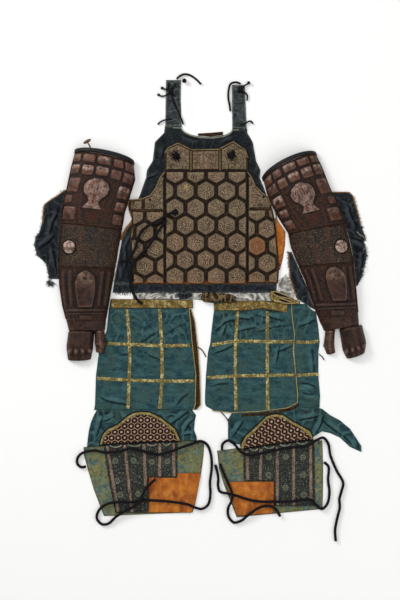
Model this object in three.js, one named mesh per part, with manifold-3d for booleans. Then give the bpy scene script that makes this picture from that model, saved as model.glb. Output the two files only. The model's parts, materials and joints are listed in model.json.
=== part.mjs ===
import * as THREE from "three";
import { mergeVertices } from "three/addons/utils/BufferGeometryUtils.js";
import Module from "manifold-3d";

// A folding armour set laid out flat, in millimetres: a cuirass, two armoured sleeves, two thigh aprons
// and two shin guards. X runs to the viewer's right, Y towards the neck and Z up from the surface.
// Left and right are the viewer's. The sheet's own origin lies between the two thigh aprons.

const wasm = await Module();
wasm.setup();

// Driving dimensions
const SHEET_SHIFT = { x: -1.5, y: -4 };
const GAP = 0.3;
const CLOTH_WALL = 2.5;
const STRAP_WALL = 3;
const LEATHER_WALL = 1.5;
const PLATED_WALL = 4;
const IRON_WALL = 3;
const OVER_CLOTH = CLOTH_WALL + GAP;
const PLATED_TOP = OVER_CLOTH + PLATED_WALL;
const HEX = { flat: 53, pitchX: 61.8, pitchY: 51.6, rise: 2.5, bevel: 3, keep: 0.15 };
const SMALL_HEX = { flat: 15.5, pitchX: 19.5, pitchY: 17.2, rise: 1.5, bevel: 1.5, keep: 0.7 };
const PANEL_HEX_INSET = 4;
const KNEE_HEX_INSET = 9;
const SOLID_PLATE = { inset: 5, rise: 1.5 };
const PLATE_RISE = 2.2;
const PLATE_SINK = 2.4;
const SPLINT = { rise: 3, edgeShare: 0.4 };
const RIBBON = { width: 10, wall: 0.9, steps: 6 };
const CORD_RADIUS = 4;
const CORD_SIDES = 8;
const SINK = 0.6;

const materials = {
  indigo: new THREE.MeshStandardMaterial({ color: 0x1d2a38, roughness: 0.95 }),
  teal: new THREE.MeshStandardMaterial({ color: 0x1f4550, roughness: 0.9 }),
  brocade: new THREE.MeshStandardMaterial({ color: 0x6f614a, roughness: 0.85 }),
  gold: new THREE.MeshStandardMaterial({ color: 0xa8904a, roughness: 0.8 }),
  iron: new THREE.MeshStandardMaterial({ color: 0x4a322b, roughness: 0.55, metalness: 0.5 }),
  mail: new THREE.MeshStandardMaterial({ color: 0x3f2b22, roughness: 0.7, metalness: 0.4 }),
  leather: new THREE.MeshStandardMaterial({ color: 0xc6761f, roughness: 0.7 }),
  shin: new THREE.MeshStandardMaterial({ color: 0x5f7a68, roughness: 0.9 }),
  white: new THREE.MeshStandardMaterial({ color: 0xd8d6ce, roughness: 0.95 }),
  black: new THREE.MeshStandardMaterial({ color: 0x101012, roughness: 0.8 }),
};

const group = new THREE.Group();
group.position.set(SHEET_SHIFT.x, SHEET_SHIFT.y, 0);

function addPiece(name, geometry, material) {
  const mesh = new THREE.Mesh(geometry, material);
  mesh.name = name;
  group.add(mesh);
}

// Reads a named column of a table at a place between its rows.
function lookup(rows, key, column, at) {
  const rising = rows[rows.length - 1][key] > rows[0][key];
  const list = rising ? rows : [...rows].reverse();
  if (at <= list[0][key]) return list[0][column];
  for (let i = 1; i < list.length; i += 1) {
    if (at <= list[i][key]) {
      const t = (at - list[i - 1][key]) / (list[i][key] - list[i - 1][key]);
      return THREE.MathUtils.lerp(list[i - 1][column], list[i][column], t);
    }
  }
  return list[list.length - 1][column];
}

// Walks through a table with equal steps from row to row, so that a grid meets every row.
function stepAlong(rows, key, t) {
  const place = t * (rows.length - 1);
  const index = THREE.MathUtils.clamp(Math.floor(place + 1e-9), 0, rows.length - 2);
  return THREE.MathUtils.lerp(rows[index][key], rows[index + 1][key], place - index);
}

// A closed wall between two surfaces, each given as a function of across and along (0 to 1).
function wallBetween(outer, inner, across, along) {
  const positions = [];
  const index = [];
  const row = across + 1;
  for (const surface of [outer, inner]) {
    for (let j = 0; j <= along; j += 1) {
      for (let i = 0; i <= across; i += 1) positions.push(...surface(i / across, j / along));
    }
  }
  const upper = (i, j) => j * row + i;
  const under = (i, j) => upper(i, j) + row * (along + 1);
  const quad = (a, b, c, d) => index.push(a, b, c, a, c, d);
  for (let j = 0; j < along; j += 1) {
    for (let i = 0; i < across; i += 1) {
      quad(upper(i, j), upper(i, j + 1), upper(i + 1, j + 1), upper(i + 1, j));
      quad(under(i, j), under(i + 1, j), under(i + 1, j + 1), under(i, j + 1));
    }
  }
  for (let i = 0; i < across; i += 1) {
    quad(upper(i, 0), upper(i + 1, 0), under(i + 1, 0), under(i, 0));
    quad(upper(i, along), under(i, along), under(i + 1, along), upper(i + 1, along));
  }
  for (let j = 0; j < along; j += 1) {
    quad(upper(0, j), under(0, j), under(0, j + 1), upper(0, j + 1));
    quad(upper(across, j), upper(across, j + 1), under(across, j + 1), under(across, j));
  }
  const geometry = new THREE.BufferGeometry();
  geometry.setAttribute("position", new THREE.Float32BufferAttribute(positions, 3));
  geometry.setIndex(index);
  return geometry;
}

function asSolid(geometry) {
  const bare = geometry.clone();
  bare.deleteAttribute("normal");
  bare.deleteAttribute("uv");
  const merged = mergeVertices(bare, 1e-4);
  return new wasm.Manifold(new wasm.Mesh({
    numProp: 3,
    vertProperties: merged.attributes.position.array,
    triVerts: new Uint32Array(merged.index.array),
  }));
}

function asGeometry(solid) {
  const mesh = solid.getMesh();
  const geometry = new THREE.BufferGeometry();
  geometry.setAttribute("position", new THREE.BufferAttribute(mesh.vertProperties, 3));
  geometry.setIndex(new THREE.BufferAttribute(mesh.triVerts, 1));
  return geometry;
}

function joined(base, extras) {
  return extras.reduce((sum, extra) => sum.add(extra), base);
}

// Folds: each is a soft ridge, given by its middle, direction in degrees, length, half-width and rise.
function foldHeight(folds, x, y) {
  let height = 0;
  for (const fold of folds) {
    const turn = THREE.MathUtils.degToRad(fold.turn);
    const dx = x - fold.x;
    const dy = y - fold.y;
    const lengthwise = dx * Math.cos(turn) + dy * Math.sin(turn);
    const sideways = dy * Math.cos(turn) - dx * Math.sin(turn);
    const fade = 1 - THREE.MathUtils.smoothstep(Math.abs(lengthwise), fold.length * 0.3, fold.length * 0.5);
    height += fold.rise * fade * Math.exp(-((sideways / fold.width) ** 2));
  }
  return height;
}

// A flat panel whose rows give its left and right edge at each height.
// ends(across) may bend its top and bottom edge.
function rowPanel(rows, ends = {}) {
  const first = rows[0].y;
  const last = rows[rows.length - 1].y;
  const top = ends.top ?? (() => first);
  const bottom = ends.bottom ?? (() => last);
  const plan = (u, v) => {
    const down = (stepAlong(rows, "y", v) - first) / (last - first);
    const y = THREE.MathUtils.lerp(top(u), bottom(u), down);
    const left = lookup(rows, "y", "left", y);
    const right = lookup(rows, "y", "right", y);
    return [THREE.MathUtils.lerp(left, right, u), y];
  };
  plan.steps = rows.length - 1;
  return plan;
}

// A flat panel whose columns give its top and bottom edge at each place across.
function columnPanel(columns) {
  const plan = (u, v) => {
    const x = stepAlong(columns, "x", u);
    const top = lookup(columns, "x", "top", x);
    const bottom = lookup(columns, "x", "bottom", x);
    return [x, THREE.MathUtils.lerp(top, bottom, v)];
  };
  plan.steps = columns.length - 1;
  return plan;
}

// Cloth lying flat on its level, with its folds standing up from it.
function clothWall(plan, across, along, { level = 0, wall = CLOTH_WALL, folds = [] } = {}) {
  const outer = (u, v) => {
    const [x, y] = plan(u, v);
    return [x, y, level + wall + foldHeight(folds, x, y)];
  };
  return wallBetween(outer, (u, v) => [...plan(u, v), level], across, along);
}

// Cloth pressed flat, down to the level of its own top, where other pieces lie on it.
function pressedFlat(cloth, prisms) {
  return prisms.reduce((rest, prism) => rest.subtract(prism), cloth);
}

// The outline of a panel, drawn in by an inset, as an upright prism.
function outlinePrism(plan, inset, low, high, across = 8, along = 6) {
  const drawnIn = (u, v) => {
    const [left, right] = [plan(0, v), plan(1, v)];
    const [top, bottom] = [plan(u, 0), plan(u, 1)];
    const wide = Math.max(right[0] - left[0], 1);
    const tall = Math.max(top[1] - bottom[1], 1);
    const su = THREE.MathUtils.lerp(inset / wide, 1 - inset / wide, u);
    const sv = THREE.MathUtils.lerp(inset / tall, 1 - inset / tall, v);
    return plan(su, sv);
  };
  return asSolid(wallBetween(
    (u, v) => [...drawnIn(u, v), high],
    (u, v) => [...drawnIn(u, v), low],
    across,
    along,
  ));
}

// A low hexagonal plate with a point towards the neck and a bevelled edge.
function hexPlate(size, x, y, base) {
  const radius = size.flat / Math.sqrt(3);
  const height = size.rise + SINK;
  const geometry = new THREE.CylinderGeometry(radius - size.bevel, radius, height, 6, 1);
  geometry.rotateX(Math.PI / 2);
  geometry.translate(x, y, base - SINK + height / 2);
  return asSolid(geometry);
}

// Hexagonal plates in staggered rows, cut off at the panel's outline.
function hexField(size, plan, base, origin, reach, inset, slope = 0) {
  const clip = outlinePrism(plan, inset, base - SINK - 1, base + size.rise + 1);
  const plates = [];
  for (let row = reach.rowFrom; row <= reach.rowTo; row += 1) {
    const stagger = (Math.abs(row) % 2) * 0.5;
    for (let column = reach.columnFrom; column <= reach.columnTo; column += 1) {
      const x = origin.x + (column + stagger) * size.pitchX;
      const y = origin.y - row * size.pitchY + (x - origin.x) * slope;
      const plate = hexPlate(size, x, y, base).intersect(clip);
      if (plate.volume() > size.flat * size.flat * size.rise * size.keep) plates.push(plate);
    }
  }
  return plates;
}

// Back panel of the cuirass, with the neck cut as a half ellipse.
const backRows = [
  { y: 522, left: -105, right: 141 },
  { y: 501, left: -108, right: 142 },
  { y: 474, left: -135, right: 158 },
  { y: 417, left: -142, right: 168 },
  { y: 390, left: -159, right: 181 },
  { y: 366, left: -162, right: 179 },
  { y: 342, left: -171, right: 189 },
  { y: 318, left: -179, right: 198 },
  { y: 276, left: -198, right: 216 },
  { y: 240, left: -206, right: 225 },
  { y: 210, left: -222, right: 227 },
  { y: 180, left: -234, right: 227 },
  { y: 120, left: -245, right: 230 },
  { y: 50, left: -258, right: 231 },
];
const neck = { centre: 21, half: 76, depth: 33, leftShoulder: 521.5, rightShoulder: 512.5 };
const backTop = (u) => {
  const x = THREE.MathUtils.lerp(backRows[0].left, backRows[0].right, u);
  const q = Math.min(Math.abs(x - neck.centre) / neck.half, 1);
  const shoulder = THREE.MathUtils.lerp(neck.leftShoulder, neck.rightShoulder, u);
  return shoulder - neck.depth * Math.sqrt(1 - q * q);
};
const backFolds = [
  { x: -122, y: 440, turn: 78, length: 70, width: 9, rise: 2 },
  { x: 157, y: 445, turn: 102, length: 70, width: 9, rise: 2 },
  { x: -229, y: 130, turn: 84, length: 130, width: 7, rise: 2 },
];
const back = clothWall(rowPanel(backRows, { top: backTop }), 7, backRows.length - 1, { folds: backFolds });
addPiece("do_back", back, materials.indigo);

const strapRows = {
  left: [
    { y: 660, left: -102, right: -57 },
    { y: 600, left: -103, right: -58 },
    { y: 522, left: -104, right: -55 },
  ],
  right: [
    { y: 645, left: 96, right: 135 },
    { y: 580, left: 96, right: 137 },
    { y: 514, left: 97, right: 140 },
  ],
};
for (const side of ["left", "right"]) {
  const strap = clothWall(rowPanel(strapRows[side]), 1, 2, { wall: STRAP_WALL });
  addPiece(`do_strap_${side}`, strap, materials.indigo);
}

// Stiff neck plate seen inside the neck opening.
const neckPlate = [
  { x: -6, top: 501, bottom: 486.5 },
  { x: 33.3, top: 503, bottom: 484.5 },
  { x: 69, top: 505, bottom: 490.1 },
];
addPiece("do_neck_plate", clothWall(columnPanel(neckPlate), 2, 1), materials.iron);

// Frayed hem band below the panels.
const hemRows = [
  { y: 49.6, left: -258, right: 231 },
  { y: 22, left: -262, right: 229 },
];
addPiece("do_hem", clothWall(rowPanel(hemRows), 6, 1), materials.indigo);

// Panels with hexagonal plates sewn between two layers of brocade.
const frontRows = [
  { y: 387, left: -105, right: 141.5 },
  { y: 46, left: -105, right: 141.5 },
];
const flankLeftRows = [
  { y: 267, left: -207, right: -105.4 },
  { y: 240, left: -204, right: -105.4 },
  { y: 195, left: -210, right: -105.4 },
  { y: 114, left: -204, right: -105.4 },
  { y: 47, left: -201, right: -105.4 },
];
const flankRightRows = [
  { y: 272, left: 141.9, right: 217 },
  { y: 255, left: 141.9, right: 221 },
  { y: 195, left: 141.9, right: 229 },
  { y: 105, left: 141.9, right: 238 },
  { y: 50, left: 141.9, right: 234 },
];
const frontPanels = [
  {
    name: "do_front", rows: frontRows, origin: { x: 18, y: 327 },
    reach: { rowFrom: -1, rowTo: 5, columnFrom: -3, columnTo: 2 },
  },
  {
    name: "do_flank_left", rows: flankLeftRows, origin: { x: -165, y: 204 },
    reach: { rowFrom: -1, rowTo: 3, columnFrom: -1, columnTo: 1 },
  },
  {
    name: "do_flank_right", rows: flankRightRows, origin: { x: 170, y: 162 },
    reach: { rowFrom: -2, rowTo: 2, columnFrom: -1, columnTo: 1 },
  },
];
for (const panel of frontPanels) {
  const plan = rowPanel(panel.rows);
  const base = asSolid(clothWall(plan, 2, 6, { level: OVER_CLOTH, wall: PLATED_WALL }));
  const plates = hexField(HEX, plan, PLATED_TOP, panel.origin, panel.reach, PANEL_HEX_INSET);
  addPiece(panel.name, asGeometry(joined(base, plates)), materials.brocade);
}

// Solid plates raised on a panel, each between two places across it.
function raisedPlates(plan, level, spans, inset, rise) {
  return spans.map((span) => {
    const part = (u, v) => plan(THREE.MathUtils.lerp(span.from, span.to, u), v);
    return outlinePrism(part, inset, level - SINK, level + rise, 4, 1);
  });
}

const columnPieces = [
  {
    name: "do_armpit_left",
    columns: [
      { x: -213, top: 299, bottom: 267.4 },
      { x: -174, top: 303, bottom: 267.4 },
      { x: -150, top: 312, bottom: 267.4 },
      { x: -132, top: 336, bottom: 267.4 },
      { x: -120, top: 366, bottom: 267.4 },
      { x: -105.4, top: 384, bottom: 267.4 },
    ],
    spans: [{ from: 0, to: 0.4 }, { from: 0.4, to: 1 }],
  },
  {
    name: "do_armpit_right",
    columns: [
      { x: 141.9, top: 384, bottom: 272.4 },
      { x: 156, top: 366, bottom: 272.4 },
      { x: 165, top: 342, bottom: 272.4 },
      { x: 186, top: 321, bottom: 272.4 },
      { x: 201, top: 311, bottom: 272.4 },
      { x: 214, top: 283, bottom: 272.4 },
    ],
    spans: [{ from: 0, to: 1 }],
  },
  {
    name: "do_breast_left",
    columns: [
      { x: -105, top: 441, bottom: 387.4 },
      { x: -96, top: 456, bottom: 387.4 },
      { x: -66, top: 470, bottom: 387.4 },
      { x: -27, top: 451, bottom: 387.4 },
    ],
    spans: [{ from: 0, to: 1 }],
  },
  {
    name: "do_breast_centre",
    columns: [
      { x: -26.6, top: 450, bottom: 387.4 },
      { x: 60, top: 451.5, bottom: 387.4 },
    ],
    spans: [{ from: 0, to: 1 }],
  },
  {
    name: "do_breast_right",
    columns: [
      { x: 60.4, top: 454, bottom: 387.4 },
      { x: 99, top: 474, bottom: 387.4 },
      { x: 135, top: 450, bottom: 387.4 },
      { x: 144, top: 426, bottom: 387.4 },
    ],
    spans: [{ from: 0, to: 1 }],
  },
];
for (const piece of columnPieces) {
  const plan = columnPanel(piece.columns);
  const base = asSolid(clothWall(plan, plan.steps, 1, { level: OVER_CLOTH, wall: PLATED_WALL }));
  const plates = raisedPlates(plan, PLATED_TOP, piece.spans, SOLID_PLATE.inset, SOLID_PLATE.rise);
  addPiece(piece.name, asGeometry(joined(base, plates)), materials.brocade);
}

// Tufted cord knots on the two outer breast plates.
const knots = { left: { x: -72, y: 431 }, right: { x: 94, y: 433 } };
const tuftProfile = [
  { radius: 0, height: 0 },
  { radius: 11, height: 0 },
  { radius: 13, height: 3 },
  { radius: 9, height: 8 },
  { radius: 0, height: 9.5 },
];
for (const side of ["left", "right"]) {
  const profile = tuftProfile.map(({ radius, height }) => new THREE.Vector2(radius, height));
  const tuft = new THREE.LatheGeometry(profile, 9);
  tuft.rotateX(Math.PI / 2);
  tuft.translate(knots[side].x, knots[side].y, PLATED_TOP + SOLID_PLATE.rise + GAP);
  addPiece(`do_knot_${side}`, tuft, materials.black);
}

// Leather lining turned out beside the right flank.
const liningRows = [
  { y: 246, left: 225, right: 230 },
  { y: 231, left: 226.2, right: 238 },
  { y: 205, left: 227.5, right: 256 },
  { y: 165, left: 228.2, right: 255 },
  { y: 126, left: 230.2, right: 249 },
  { y: 90, left: 230.9, right: 240 },
];
const lining = clothWall(rowPanel(liningRows), 1, liningRows.length - 1, { wall: LEATHER_WALL });
addPiece("do_lining_right", lining, materials.leather);

// An armoured sleeve is an arch over its own table of rows: the outer and inner rim, how high the arch
// stands and how far its middle bulges towards the shoulder.
const sleeves = {
  left: {
    arm: [
      { row: 0, outX: -372, outY: 450, inX: -201, inY: 417, height: 44, bulge: 15 },
      { row: 1, outX: -387, outY: 396, inX: -194, inY: 360, height: 48, bulge: 9 },
      { row: 2, outX: -399, outY: 339, inX: -210, inY: 309, height: 48, bulge: 6 },
      { row: 3, outX: -410, outY: 285, inX: -225, inY: 261, height: 46, bulge: 4 },
      { row: 4, outX: -417, outY: 234, inX: -233, inY: 213, height: 44, bulge: 2 },
      { row: 5, outX: -420, outY: 180, inX: -242, inY: 165, height: 43, bulge: 0 },
      { row: 6, outX: -423, outY: 114, inX: -252, inY: 108, height: 42, bulge: 0 },
      { row: 7, outX: -422, outY: 45, inX: -263, inY: 45, height: 39, bulge: 0 },
      { row: 8, outX: -413, outY: -15, inX: -273, inY: -12, height: 35, bulge: 0 },
      { row: 9, outX: -402, outY: -57, inX: -281, inY: -54, height: 31, bulge: 0 },
      { row: 10, outX: -393, outY: -93, inX: -285, inY: -90, height: 29, bulge: 0 },
    ],
    hand: [
      { row: 0, outX: -393, outY: -93.4, inX: -318, inY: -91.3, height: 28, bulge: 0 },
      { row: 1, outX: -399, outY: -135, inX: -321, inY: -132, height: 27, bulge: 0 },
      { row: 2, outX: -399, outY: -156, inX: -322, inY: -153, height: 25, bulge: -2 },
      { row: 3, outX: -396, outY: -179, inX: -327, inY: -177, height: 17, bulge: -4 },
    ],
    thumb: [
      { row: 0, outX: -316, outY: -91.3, inX: -287, inY: -90.5, height: 18, bulge: 0 },
      { row: 1, outX: -315, outY: -130, inX: -282, inY: -128, height: 17, bulge: 0 },
      { row: 2, outX: -311, outY: -156, inX: -285, inY: -155, height: 10, bulge: -3 },
    ],
    thumbLevel: OVER_CLOTH,
    leafAcross: 0,
    mirror: 1,
  },
  right: {
    arm: [
      { row: 0, outX: 345, outY: 441, inX: 189, inY: 366, height: 44, bulge: 23 },
      { row: 1, outX: 366, outY: 399, inX: 201, inY: 318, height: 48, bulge: 14 },
      { row: 2, outX: 390, outY: 336, inX: 219, inY: 276, height: 48, bulge: 8 },
      { row: 3, outX: 414, outY: 285, inX: 238, inY: 240, height: 46, bulge: 4 },
      { row: 4, outX: 432, outY: 234, inX: 264, inY: 200, height: 44, bulge: 2 },
      { row: 5, outX: 447, outY: 180, inX: 273, inY: 156, height: 43, bulge: 0 },
      { row: 6, outX: 459, outY: 126, inX: 291, inY: 111, height: 42, bulge: 0 },
      { row: 7, outX: 465, outY: 66, inX: 315, inY: 57, height: 39, bulge: 0 },
      { row: 8, outX: 470, outY: 9, inX: 333, inY: 3, height: 35, bulge: 0 },
      { row: 9, outX: 474, outY: -36, inX: 351, inY: -45, height: 31, bulge: 0 },
      { row: 10, outX: 477, outY: -75, inX: 372, inY: -93, height: 29, bulge: 0 },
    ],
    hand: [
      { row: 0, outX: 484, outY: -74.2, inX: 419, inY: -85.3, height: 28, bulge: 0 },
      { row: 1, outX: 495, outY: -116, inX: 427, inY: -139, height: 27, bulge: 0 },
      { row: 2, outX: 498, outY: -136, inX: 431, inY: -158, height: 25, bulge: -2 },
      { row: 3, outX: 494, outY: -157, inX: 440, inY: -175, height: 17, bulge: -4 },
    ],
    thumb: [
      { row: 0, outX: 405, outY: -87.7, inX: 376, inY: -92.7, height: 18, bulge: 0 },
      { row: 1, outX: 403, outY: -132, inX: 370, inY: -137, height: 17, bulge: 0 },
      { row: 2, outX: 406, outY: -157, inX: 380, inY: -162, height: 10, bulge: -3 },
    ],
    thumbLevel: 0,
    leafAcross: -0.2,
    mirror: -1,
  },
};

// A place on the arch: across from -1 at the outer rim to 1 at the inner rim, a row, and how far out.
function archPoint(rows, level, across, row, out) {
  const at = (column) => lookup(rows, "row", column, row);
  const outer = new THREE.Vector2(at("outX"), at("outY"));
  const inner = new THREE.Vector2(at("inX"), at("inY"));
  const half = inner.clone().sub(outer).multiplyScalar(0.5);
  const centre = outer.clone().add(half);
  const width = half.length();
  const towardsShoulder = new THREE.Vector2(-half.y, half.x).normalize();
  if (towardsShoulder.y < 0) towardsShoulder.negate();
  const crown = Math.sqrt(Math.max(1 - across * across, 0));
  const place = centre.addScaledVector(half, across * (1 + out / width));
  place.addScaledVector(towardsShoulder, at("bulge") * crown);
  return [place.x, place.y, level + (at("height") + out) * crown];
}

// A stretch of the arch between two rows, as one wall. The mirror keeps its faces pointing out.
function archWall(rows, level, mirror, from, to, across, along, profile = () => 0) {
  const surface = (lift) => (u, v) => {
    const turn = (mirror > 0 ? u : 1 - u) * Math.PI - Math.PI / 2;
    const row = THREE.MathUtils.lerp(from, to, v);
    const side = Math.sin(turn);
    return archPoint(rows, level, side, row, lift === 0 ? profile(side, row) : lift);
  };
  return wallBetween(surface(0), surface(-IRON_WALL), across, along);
}

// A plate lying on the arch, sunk a little into it so that the two join.
function archPlate(rows, mirror, plate, across = 1, along = 1, rise = () => PLATE_RISE) {
  const from = Math.asin(THREE.MathUtils.clamp(plate.left, -0.995, 0.995));
  const to = Math.asin(THREE.MathUtils.clamp(plate.right, -0.995, 0.995));
  const surface = (lift) => (u, v) => {
    const angle = THREE.MathUtils.lerp(from, to, mirror > 0 ? u : 1 - u);
    const row = THREE.MathUtils.lerp(plate.top, plate.bottom, v);
    return archPoint(rows, 0, Math.sin(angle), row, lift > 0 ? rise(u, v) : -PLATE_SINK);
  };
  return asSolid(wallBetween(surface(1), surface(0), across, along));
}

// Small plates of the upper arm: left and right place across the arch, top and bottom row.
const upperPlates = [
  { left: -0.97, right: -0.74, top: 0.32, bottom: 0.72 },
  { left: -0.67, right: -0.27, top: 0.32, bottom: 0.72 },
  { left: -0.2, right: 0.25, top: 0.32, bottom: 0.72 },
  { left: 0.33, right: 0.64, top: 0.32, bottom: 0.72 },
  { left: 0.7, right: 0.97, top: 0.32, bottom: 0.76 },
  { left: -0.95, right: -0.7, top: 0.86, bottom: 1.36 },
  { left: -0.63, right: -0.27, top: 0.86, bottom: 1.36 },
  { left: -0.2, right: 0.19, top: 0.84, bottom: 1.3 },
  { left: 0.26, right: 0.58, top: 0.86, bottom: 1.36 },
  { left: 0.64, right: 0.94, top: 0.86, bottom: 1.4 },
  { left: -0.94, right: -0.6, top: 1.55, bottom: 2.3 },
  { left: 0.6, right: 0.93, top: 1.6, bottom: 2.3 },
  { left: -0.96, right: -0.74, top: 2.48, bottom: 2.9 },
  { left: 0.65, right: 0.93, top: 2.5, bottom: 3.05 },
  { left: -0.95, right: -0.55, top: 3.1, bottom: 3.85 },
  { left: 0.66, right: 0.93, top: 3.25, bottom: 3.85 },
];

// The gourd-shaped plate: half its width across the arch at each row.
const gourd = [
  { row: 1.45, half: 0.1, rise: 1.5 },
  { row: 1.62, half: 0.3, rise: 5 },
  { row: 1.9, half: 0.4, rise: 7 },
  { row: 2.25, half: 0.36, rise: 6.5 },
  { row: 2.55, half: 0.2, rise: 4.5 },
  { row: 2.72, half: 0.16, rise: 3.5 },
  { row: 2.85, half: 0.2, rise: 3 },
  { row: 3.1, half: 0.3, rise: 2.5 },
];
const GOURD = { ribs: 4, ribDepth: 0.16, roundness: 0.85, leastRise: 1, centre: -0.05 };
function gourdPlate(rows, mirror) {
  const surface = (raised) => (u, v) => {
    const row = THREE.MathUtils.lerp(gourd[0].row, gourd[gourd.length - 1].row, v);
    const half = lookup(gourd, "row", "half", row);
    const side = mirror > 0 ? 2 * u - 1 : 1 - 2 * u;
    const crown = Math.sqrt(1 - side * side * GOURD.roundness);
    const rib = 1 + GOURD.ribDepth * Math.cos(side * GOURD.ribs * Math.PI);
    const rise = Math.max(lookup(gourd, "row", "rise", row) * crown * rib, GOURD.leastRise);
    return archPoint(rows, 0, GOURD.centre + side * half, row, raised ? rise : -PLATE_SINK);
  };
  return asSolid(wallBetween(surface(true), surface(false), 8, 5));
}

// The leaf-shaped plate of the forearm: half its width across the arch at each row.
const LEAF = { rim: 2.4, crown: 2.2 };
const leaf = [
  { row: 6.36, half: 0.06 },
  { row: 6.55, half: 0.28 },
  { row: 6.9, half: 0.38 },
  { row: 7.4, half: 0.38 },
  { row: 8.2, half: 0.3 },
];
function leafPlate(rows, mirror, centre) {
  const surface = (raised) => (u, v) => {
    const row = THREE.MathUtils.lerp(leaf[0].row, leaf[leaf.length - 1].row, v);
    const half = lookup(leaf, "row", "half", row);
    const side = mirror > 0 ? 2 * u - 1 : 1 - 2 * u;
    const out = raised ? LEAF.rim + LEAF.crown * (1 - side * side) : -PLATE_SINK;
    return archPoint(rows, 0, centre + side * half, row, out);
  };
  return asSolid(wallBetween(surface(true), surface(false), 4, 6));
}

// The round plate beside the elbow.
const disc = { across: -0.66, row: 5.3, radius: 21, bevel: 3, thick: 8, seat: 1, tiltShare: 0.75 };
function discPlate(rows) {
  const [x, y, z] = archPoint(rows, 0, disc.across, disc.row, 0);
  const tilt = Math.asin(disc.across) * disc.tiltShare;
  const outward = rows[0].outX < 0 ? 1 : -1;
  const geometry = new THREE.CylinderGeometry(disc.radius - disc.bevel, disc.radius, disc.thick, 14, 1);
  geometry.rotateX(Math.PI / 2);
  geometry.rotateY(tilt * outward);
  geometry.translate(x, y, z + disc.seat);
  return asSolid(geometry);
}

const forearmSplints = [
  { left: -0.9, right: -0.76, top: 6.35, bottom: 8.15 },
  { left: -0.66, right: -0.5, top: 6.35, bottom: 8.15 },
  { left: 0.5, right: 0.66, top: 6.35, bottom: 8.15 },
  { left: 0.76, right: 0.9, top: 6.35, bottom: 8.15 },
];
const wristPieces = [
  { left: -0.93, right: 0.93, top: 8.32, bottom: 8.52, across: 4 },
  { left: -0.32, right: 0.34, top: 8.78, bottom: 9.14, across: 2 },
];

// Oval toggle on a stem that is rooted in the left cap plate.
const toggle = {
  across: -0.42, stemRadius: 2.2, stemLength: 24, capLong: 13, capShort: 5, capTurn: -0.2, capSeat: 2,
  lean: 0.5, rootX: -4, rootY: -4,
};
function togglePart(rows) {
  const [x, y, z] = archPoint(rows, 0, toggle.across, 0, 0);
  const stem = new THREE.CylinderGeometry(toggle.stemRadius, toggle.stemRadius, toggle.stemLength, 8);
  const knob = new THREE.SphereGeometry(toggle.capLong, 10, 6);
  const flatness = toggle.capShort / toggle.capLong;
  knob.scale(1, flatness, flatness);
  knob.rotateZ(toggle.capTurn);
  knob.translate(0, toggle.stemLength / 2 + toggle.capSeat, 0);
  for (const geometry of [stem, knob]) {
    geometry.rotateZ(toggle.lean);
    geometry.translate(x + toggle.rootX, y + toggle.stemLength / 2 + toggle.rootY, z);
  }
  return asSolid(stem).add(asSolid(knob));
}

// Where each stretch of the arm begins and ends along its rows.
const stretches = {
  cap: { from: 0, to: 0.22, flare: 5, bandRise: 4 },
  upper: { from: 0.2265, to: 4.1 },
  elbow: { from: 4.107, to: 6.2 },
  forearm: { from: 6.2055, to: 10 },
};
const knuckle = { fingers: 4, row: 1.9, spread: 0.35, groove: 1, rise: 4 };

for (const side of ["left", "right"]) {
  const { arm, hand, thumb, thumbLevel, leafAcross, mirror } = sleeves[side];
  const name = (piece) => `kote_${side}_${piece}`;
  const shell = ({ from, to }, across, along) => asSolid(archWall(arm, 0, mirror, from, to, across, along));

  // The cap plate flares outwards above the first row of plates.
  const { from, to, flare, bandRise } = stretches.cap;
  const capFlare = (across, row) => THREE.MathUtils.lerp(flare, 0, row / to);
  const cap = asSolid(archWall(arm, 0, mirror, from, to, 8, 1, capFlare));
  const bandPlace = { left: -0.9, right: 0.9, top: 0.12, bottom: 0.2 };
  const capBand = () => archPlate(arm, mirror, bandPlace, 8, 1, () => bandRise);
  const capExtra = side === "right" ? capBand() : togglePart(arm);
  addPiece(name("cap"), asGeometry(joined(cap, [capExtra])), materials.black);

  const plates = upperPlates.map((plate) => archPlate(arm, mirror, plate));
  const upper = joined(shell(stretches.upper, 8, 4), [...plates, gourdPlate(arm, mirror)]);
  addPiece(name("upper"), asGeometry(upper), materials.iron);

  const elbow = joined(shell(stretches.elbow, 8, 3), [discPlate(arm)]);
  addPiece(name("elbow"), asGeometry(elbow), materials.mail);

  const forearmParts = [
    leafPlate(arm, mirror, leafAcross),
    ...forearmSplints.map((splint) => archPlate(arm, mirror, splint, 1, 2)),
    ...wristPieces.map((piece) => archPlate(arm, mirror, piece, piece.across)),
  ];
  addPiece(name("forearm"), asGeometry(joined(shell(stretches.forearm, 8, 4), forearmParts)), materials.iron);

  // Four knuckles stand along the hand guard's third row, and shallow grooves part the fingers below it.
  const knuckles = (across, row) => {
    const finger = 0.5 - 0.5 * Math.cos((across + 1) * knuckle.fingers * Math.PI);
    const ridge = Math.exp(-(((row - knuckle.row) / knuckle.spread) ** 2));
    return finger * (knuckle.groove + knuckle.rise * ridge);
  };
  addPiece(name("hand"), archWall(hand, 0, mirror, 0, 3, 12, 5, knuckles), materials.iron);
  addPiece(name("thumb"), archWall(thumb, thumbLevel, mirror, 0, 2, 5, 3), materials.iron);
}

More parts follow.
